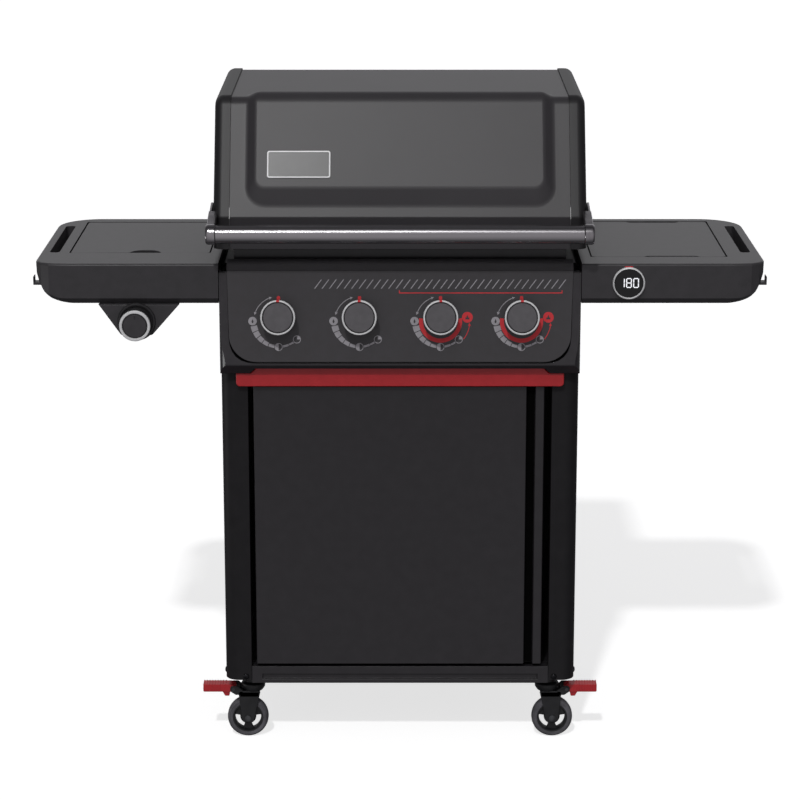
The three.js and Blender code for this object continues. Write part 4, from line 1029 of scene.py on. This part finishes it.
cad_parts["side_burner_bowl"].data.materials[0] = box_enamel
head = [
    (11, 846), (15, 846), (15, 857.8), (41, 857.8), (44, 860), (46, 864.5), (46, 868), (43, 869),
    (43, 871), (45, 872), (44, 875.5), (39, 878.6), (20, 880), (0, 880), (0, 876), (11, 872), (11, 846),
]
head_shapes = [turned(head, "z", (HEAD_X, HEAD_Y, 0), 0, 64)]
finish_piece(
    "side_burner_casting", head_shapes, mill_aluminium, "cart", "cast_aluminium", "side_burner_head"
)
ring = [(58, 892.3), (66, 892.3), (66, 896.5), (58, 896.5), (58, 892.3)]
arms = [turned(ring, "z", (HEAD_X, HEAD_Y, 0), 1, 64)]
for way in (-1, 1):
    ends = sorted((HEAD_X + way * 34, HEAD_X + way * 112))
    arms.append(box(ends, (HEAD_Y - 4, HEAD_Y + 4), (892.3, 896.5), 1, 2))
    ends = sorted((HEAD_Y + way * 34, HEAD_Y + way * 136))
    arms.append(box((HEAD_X - 4, HEAD_X + 4), ends, (892.3, 896.5), 1, 2))
finish_piece("pan_support_bars", arms, cast_iron, "cart", "cast_iron", "side_burner_grate")

wedge = [[391, 835.7], [440, 780, 6], [495, 780, 6], [534, 835.7]]
bracket = plate(wedge, "y", BRACKET_Y, -176)
bmesh.ops.recalc_face_normals(bracket, faces=bracket.faces)
bmesh.ops.delete(bracket, geom=[f for f in bracket.faces if f.normal.y > 0.5], context="FACES_ONLY")
front_rim = [e for e in bracket.edges if all(v.co.y < BRACKET_Y + 0.1 for v in e.verts)]
round_edges(bracket, front_rim, 1.6, 3)
give_thickness(bracket, 2)
boss = [
    (4.3, -2), (32, -2), (34, -1), (34, 1), (32.6, 3), (30.5, 3.6), (29, 3), (28.5, 0.6), (4.3, 0.6),
    (4.3, -2),
]
boss_disc = turned([(r, -h) for r, h in boss], "y", (SIDE_KNOB_X, BRACKET_Y, SIDE_KNOB_Z), 0, 64)
finish_piece(
    "side_control_bracket", [moved(bracket, side=-1)], shelf_coat, "cart", "powder_coat",
    "side_burner_bracket",
)
finish_piece("side_control_boss", [boss_disc], knob_drum_plastic, "cart", "moulding")


def on_bracket(shape):
    """Stands a shape made face up on the bracket's front, round the side knob's axis."""
    bmesh.ops.rotate(shape, matrix=Matrix.Rotation(pi / 2, 3, "X"), verts=shape.verts)
    return moved(shape, SIDE_KNOB_X, BRACKET_Y, SIDE_KNOB_Z)


side_knob = [on_bracket(shape) for shape in knob_shapes(27.5, 38, 5)]
side_tab = plate([[-1, 12, 0.8], [1, 12, 0.8], [1, 18.5, 0.8], [-1, 18.5, 0.8]], "z", 36, 37.7)
finish_knob(
    "side_knob", side_knob, on_bracket(side_tab), "side_control", "side_burner_knob", side_face_plastic,
    knob_drum_plastic,
)

# ------------------------------------------------------------------------- thermometer
# A round digital display in a thin satin ring, pressed into the right shelf's front face. Its
# figures glow white behind a black window.

GAUGE_X, GAUGE_Y, GAUGE_Z = 404.5, -235, 874

# Smoked acrylic: deep black and glossy.
smoked_acrylic = grained("smoked_black_acrylic", "#070708", "#0c0c0e", 3.0, 0.001, 0.12)
# Lit figures behind the window.
lit_figures = start_material(
    "lit_white_figures", "#e8eaee", 0.5, Emission_Color=linear("#e8eaee"), Emission_Strength=0.7
)[0]


def on_shelf_front(shape, x=GAUGE_X, z=GAUGE_Z):
    """Stands a shape made face up on the shelf's front."""
    bmesh.ops.rotate(shape, matrix=Matrix.Rotation(pi / 2, 3, "X"), verts=shape.verts)
    return moved(shape, x, GAUGE_Y, z)


bezel = [
    (25.6, 0.3), (27.8, 0.3), (28.6, 1.2), (28.6, 6.4), (27.8, 7.6), (26.8, 8), (26, 7.4),
    (25.6, 6.4), (25.6, 0.3),
]
finish_piece(
    "gauge_bezel", [on_shelf_front(turned(bezel, "z", (0, 0, 0), 0, 72))], satin_chrome_painted_bright, "cart",
    "cast_aluminium", "thermometer_bezel",
)
window = [(0, 0.3), (25.2, 0.3), (25.2, 5.4), (24.6, 6), (0, 6)]
finish_piece(
    "gauge_window", [on_shelf_front(turned(window, "z", (0, 0, 0), 0, 72))], smoked_acrylic,
    "cart", "display", "thermometer_display",
)
BARS = {
    "top": (0, 8, 3.6, 0.9), "middle": (0, 0, 3.6, 0.9), "bottom": (0, -8, 3.6, 0.9),
    "upper_left": (-4.2, 4, 0.9, 3.4), "lower_left": (-4.2, -4, 0.9, 3.4),
    "upper_right": (4.2, 4, 0.9, 3.4), "lower_right": (4.2, -4, 0.9, 3.4),
}
FIGURES = [
    (-12.5, ("upper_right", "lower_right")),
    (0, tuple(BARS)),
    (12.5, tuple(bar for bar in BARS if bar != "middle")),
]
figures = []
for offset, lit in FIGURES:
    for bar in lit:
        u, v, half_u, half_v = BARS[bar]
        us, vs = (offset + u - half_u, offset + u + half_u), (v + 1 - half_v, v + 1 + half_v)
        figures.append(on_shelf_front(box(us, vs, (5.9, 6.12), 0)))
finish_piece("gauge_figures", figures, lit_figures, "cart", "display")
mark = plate([[-7, -1, 0.6], [7, -1, 0.6], [7, 1, 0.6], [-7, 1, 0.6]], "z", -0.1, 0.3)
finish_piece("gauge_mark", [on_shelf_front(mark, z=GAUGE_Z + 28.9)], red_ink, "cart", "display")

# --------------------------------------------------------------------------------- lid
# The lid is one steel sheet pressed with a raised panel and folded from its lip over the brow
# to the back, between two cast end caps. All of it is black enamelled. It turns on two pins.

LID_SEAM, LID_END, LIP_Z = 301, 330, 932
PRESS_HALF, PRESS_INNER_HALF, PRESS_HEIGHT = 272, 256, 9

# Vitreous enamel: deep grey-black, glossy, with the faint ripple of a fired surface.
lid_enamel = grained("fired_black_enamel", "#2e2c2f", "#323033", 9.0, 0.02, 0.42)
# The cast caps take a thicker, darker coat.
cap_enamel = grained("fired_enamel_on_casting", "#19181a", "#1e1d1f", 5.0, 0.03, 0.46)


def lid_corners(grow):
    """The lid's side outline [y, z, radius], grown outwards by a distance."""
    return [
        [-220 - grow, LIP_Z], [-220 - grow, 989 + 0.2 * grow, max(2, 6 + grow)],
        [-120 - 0.75 * grow, 1187 + grow, max(2, 24 + grow)],
        [297 + grow, 1191 + grow, max(2, 62 + grow)], [297 + grow, LIP_Z],
    ]


def rounded_path(corners, steps):
    """Points of a path through corners, with an arc of steps at each one that has a radius."""
    points = [Vector(corners[0][:2])]
    for before, corner, after in zip(corners, corners[1:], corners[2:]):
        middle = Vector(corner[:2])
        back = (Vector(before[:2]) - middle).normalized()
        on = (Vector(after[:2]) - middle).normalized()
        half_turn = (pi - back.angle(on)) / 2
        hub = middle + (back + on).normalized() * corner[2] / cos(half_turn)
        first = middle + back * corner[2] * tan(half_turn) - hub
        last = middle + on * corner[2] * tan(half_turn) - hub
        for step in range(steps + 1):
            blend = sin(2 * half_turn * (1 - step / steps)), sin(2 * half_turn * step / steps)
            points.append(hub + (first * blend[0] + last * blend[1]) / sin(2 * half_turn))
    points.append(Vector(corners[-1][:2]))
    return points


BEND_STEPS = 12
lid_path = rounded_path(lid_corners(0), BEND_STEPS)
lid_reach = [0]
for low, high in zip(lid_path, lid_path[1:]):
    lid_reach.append(lid_reach[-1] + (high - low).length)


def wrap(vert):
    """Wraps a point of the flat sheet (x, reach, height) round the lid's side outline."""
    reach = min(max(vert.co.y, 0.001), lid_reach[-1] - 0.001)
    row = next(i for i, r in enumerate(lid_reach[1:]) if reach <= r)
    share = (reach - lid_reach[row]) / (lid_reach[row + 1] - lid_reach[row])
    place = lid_path[row].lerp(lid_path[row + 1], share)
    normals = []
    for end in (row, row + 1):
        along = lid_path[min(end + 1, len(lid_path) - 1)] - lid_path[max(end - 1, 0)]
        normals.append(Vector((-along.y, along.x)).normalized())
    out = place + normals[0].lerp(normals[1], share).normalized() * vert.co.z
    vert.co = (vert.co.x, out.x, out.y)


def reach_at(height):
    """How far along the sheet the lid's face reaches a height."""
    for row, (low, high) in enumerate(zip(lid_path, lid_path[1:])):
        if low.y <= height <= high.y:
            return lid_reach[row] + (high - low).length * (height - low.y) / (high.y - low.y)


foot, knee = reach_at(1007), reach_at(1035)
BROW_END = 2 * (BEND_STEPS + 1)
crest, tail = lid_reach[BROW_END] + 3, lid_reach[BROW_END] + 30

sheet = bmesh.new()
holder = bpy.data.meshes.new("press_outline")
rings = []
press = [
    ([[-LID_SEAM, 0], [LID_SEAM, 0], [LID_SEAM, lid_reach[-1]], [-LID_SEAM, lid_reach[-1]]], 0),
    ([[-PRESS_HALF, foot, 34], [PRESS_HALF, foot, 34], [PRESS_HALF, tail, 20], [-PRESS_HALF, tail, 20]], 0),
    (
        [
            [-PRESS_INNER_HALF, knee, 18], [PRESS_INNER_HALF, knee, 18],
            [PRESS_INNER_HALF, crest, 12], [-PRESS_INNER_HALF, crest, 12],
        ],
        PRESS_HEIGHT,
    ),
]
for corners, height in press:
    loop = outline(corners, 8)
    bmesh.ops.delete(loop, geom=loop.faces[:], context="FACES_ONLY")
    bmesh.ops.translate(loop, vec=(0, 0, height), verts=loop.verts)
    loop.to_mesh(holder)
    loop.free()
    before = set(sheet.edges)
    sheet.from_mesh(holder)
    rings.append([e for e in sheet.edges if e not in before])
bpy.data.meshes.remove(holder)
bmesh.ops.triangle_fill(sheet, use_beauty=True, use_dissolve=False, edges=rings[0] + rings[1])
bmesh.ops.bridge_loops(sheet, edges=rings[1] + rings[2])
bmesh.ops.contextual_create(sheet, geom=rings[2])
bmesh.ops.recalc_face_normals(sheet, faces=sheet.faces)
bends = [e for ring in rings[1:] for e in ring]
round_edges(sheet, bends, 4, 4)
for reach in lid_reach[1:-1]:
    bmesh.ops.bisect_plane(
        sheet, geom=sheet.verts[:] + sheet.edges[:] + sheet.faces[:], plane_co=(0, reach, 0),
        plane_no=(0, 1, 0),
    )
for vert in sheet.verts:
    wrap(vert)
bmesh.ops.remove_doubles(sheet, verts=sheet.verts, dist=0.01)
bmesh.ops.recalc_face_normals(sheet, faces=sheet.faces)
lip = min(sheet.faces, key=lambda f: (f.calc_center_median() - Vector((0, -220, 950))).length)
if lip.normal.y > 0:
    bmesh.ops.reverse_faces(sheet, faces=sheet.faces)
bmesh.ops.solidify(sheet, geom=sheet.faces[:], thickness=2)
finish_piece("lid_sheet", [sheet], lid_enamel, "lid", "enamel", "lid_skin", smooth_below=30)


def end_cap():
    """A dish with a 16 mm rounded edge, open below and towards the sheet."""
    cap = bmesh.new()
    holder = bpy.data.meshes.new("cap_outline")
    insets = [(0, LID_SEAM + 0.3)]
    for step in range(9):
        angle = radians(90 * step / 8)
        insets.append((16 * (1 - cos(angle)), LID_END - 16 + 16 * sin(angle)))
    loops = []
    for inset, x in insets:
        loop = outline(lid_corners(3 - inset), 8)
        bmesh.ops.delete(loop, geom=loop.faces[:], context="FACES_ONLY")
        bmesh.ops.transform(loop, matrix=LIE_ALONG["x"].to_4x4(), verts=loop.verts)
        bmesh.ops.translate(loop, vec=(x, 0, 0), verts=loop.verts)
        loop.to_mesh(holder)
        loop.free()
        before = set(cap.edges)
        cap.from_mesh(holder)
        loops.append([e for e in cap.edges if e not in before])
    bpy.data.meshes.remove(holder)
    for low, high in zip(loops, loops[1:]):
        bmesh.ops.bridge_loops(cap, edges=low + high)
    bmesh.ops.contextual_create(cap, geom=loops[-1])
    below = [f for f in cap.faces if all(abs(v.co.z - LIP_Z) < 0.05 for v in f.verts)]
    bmesh.ops.delete(cap, geom=below, context="FACES")
    bmesh.ops.recalc_face_normals(cap, faces=cap.faces)
    outer = max(cap.faces, key=lambda f: f.calc_area())
    if outer.normal.x < 0:
        bmesh.ops.reverse_faces(cap, faces=cap.faces)
    bmesh.ops.solidify(cap, geom=cap.faces[:], thickness=3)
    return cap


for name, side in SIDES:
    lug = box((303, 310), (237, 296), (925, 944), 1)
    shapes = [moved(shape, side=side) for shape in (end_cap(), lug)]
    finish_piece(
        f"lid_cap_{name}", shapes, cap_enamel, "lid", "enamel", f"lid_end_{name}", smooth_below=30
    )

# A blank cast badge: a raised border, painted bright as a reflection like the knob rings, round a black
# field.
badge_lean = atan2(100, 198)


def on_lid_face(shape, x, z, proud):
    """Stands a shape made face up on the raised panel of the lid's face."""
    bmesh.ops.translate(shape, vec=(0, 0, proud), verts=shape.verts)
    bmesh.ops.rotate(shape, matrix=Matrix.Rotation(pi / 2 - badge_lean, 3, "X"), verts=shape.verts)
    return moved(shape, x, -220 + 100 / 198 * (z - 989), z)


BADGE_X, BADGE_Z = -179, 1073
badge_corners = [[-56, -25, 4], [56, -25, 4], [56, 25, 4], [-56, 25, 4]]
field_corners = [[-53.6, -22.6, 2.4], [53.6, -22.6, 2.4], [53.6, 22.6, 2.4], [-53.6, 22.6, 2.4]]
badge = plate(badge_corners, "z", -1, 2.2, 0.7)
badge_shapes = [on_lid_face(badge, BADGE_X, BADGE_Z, PRESS_HEIGHT)]
finish_piece("badge_border", badge_shapes, satin_chrome_painted_bright, "lid", "stainless")
field = plate(field_corners, "z", 0, 2.5, 0.2)
field_shapes = [on_lid_face(field, BADGE_X, BADGE_Z, PRESS_HEIGHT)]
finish_piece("badge_field", field_shapes, box_enamel, "lid", "enamel")

# -------------------------------------------------------------------------- lid handle
# A stainless tube held between two cast posts, which are screwed to the lid's end caps.

HANDLE_Y, HANDLE_Z = -282, 970

# Polished and faintly brushed stainless steel: streaks round the tube.
brushed_steel = grained(
    "brushed_stainless", "#a9a6a9", "#b7b4b7", 0.7, 0.001, 0.22, squeeze=(0.02, 1, 1), Metallic=1.0
)
# Die-cast aluminium, tumbled and plated: bright grey.
plated_casting = grained("satin_plated_casting", "#9d9a9d", "#b5b2b5", 1.2, 0.004, 0.2, Metallic=1.0)

grip_profile = [
    (14.5, -321.5), (15.6, -321.5), (16, -320.8), (16, 320.8), (15.6, 321.5), (14.5, 321.5),
    (14.5, -321.5),
]
finish_piece(
    "handle_tube", [turned(grip_profile, "x", (0, HANDLE_Y, HANDLE_Z), 0, 96)], brushed_steel,
    "lid", "stainless", "lid_handle_bar",
)
for name, side in SIDES:
    cap_profile = [
        (0, 321.8), (17, 321.8), (18, 322.8), (18, 334), (17.6, 336.4), (16, 338.4), (13, 339), (0, 339),
    ]
    cap = turned([(r, side * h) for r, h in cap_profile], "x", (0, HANDLE_Y, HANDLE_Z), 0, 64)
    near = [[-284, 956, 2], [-223.6, 973.2], [-223.6, 1001], [-284, 987, 2]]
    far = [[-224, 973], [-205, 978], [-180, 996], [-180, 1010, 4], [-200, 1006, 10], [-224, 1001]]
    arms = [plate(near, "x", 322, 337, 1.5, 3), plate(far, "x", 331, 335.6, 1.2, 3)]
    shapes = [cap] + [moved(arm, side=side) for arm in arms]
    finish_piece(
        f"handle_casting_{name}", shapes, plated_casting, "lid", "cast_aluminium", f"handle_post_{name}"
    )
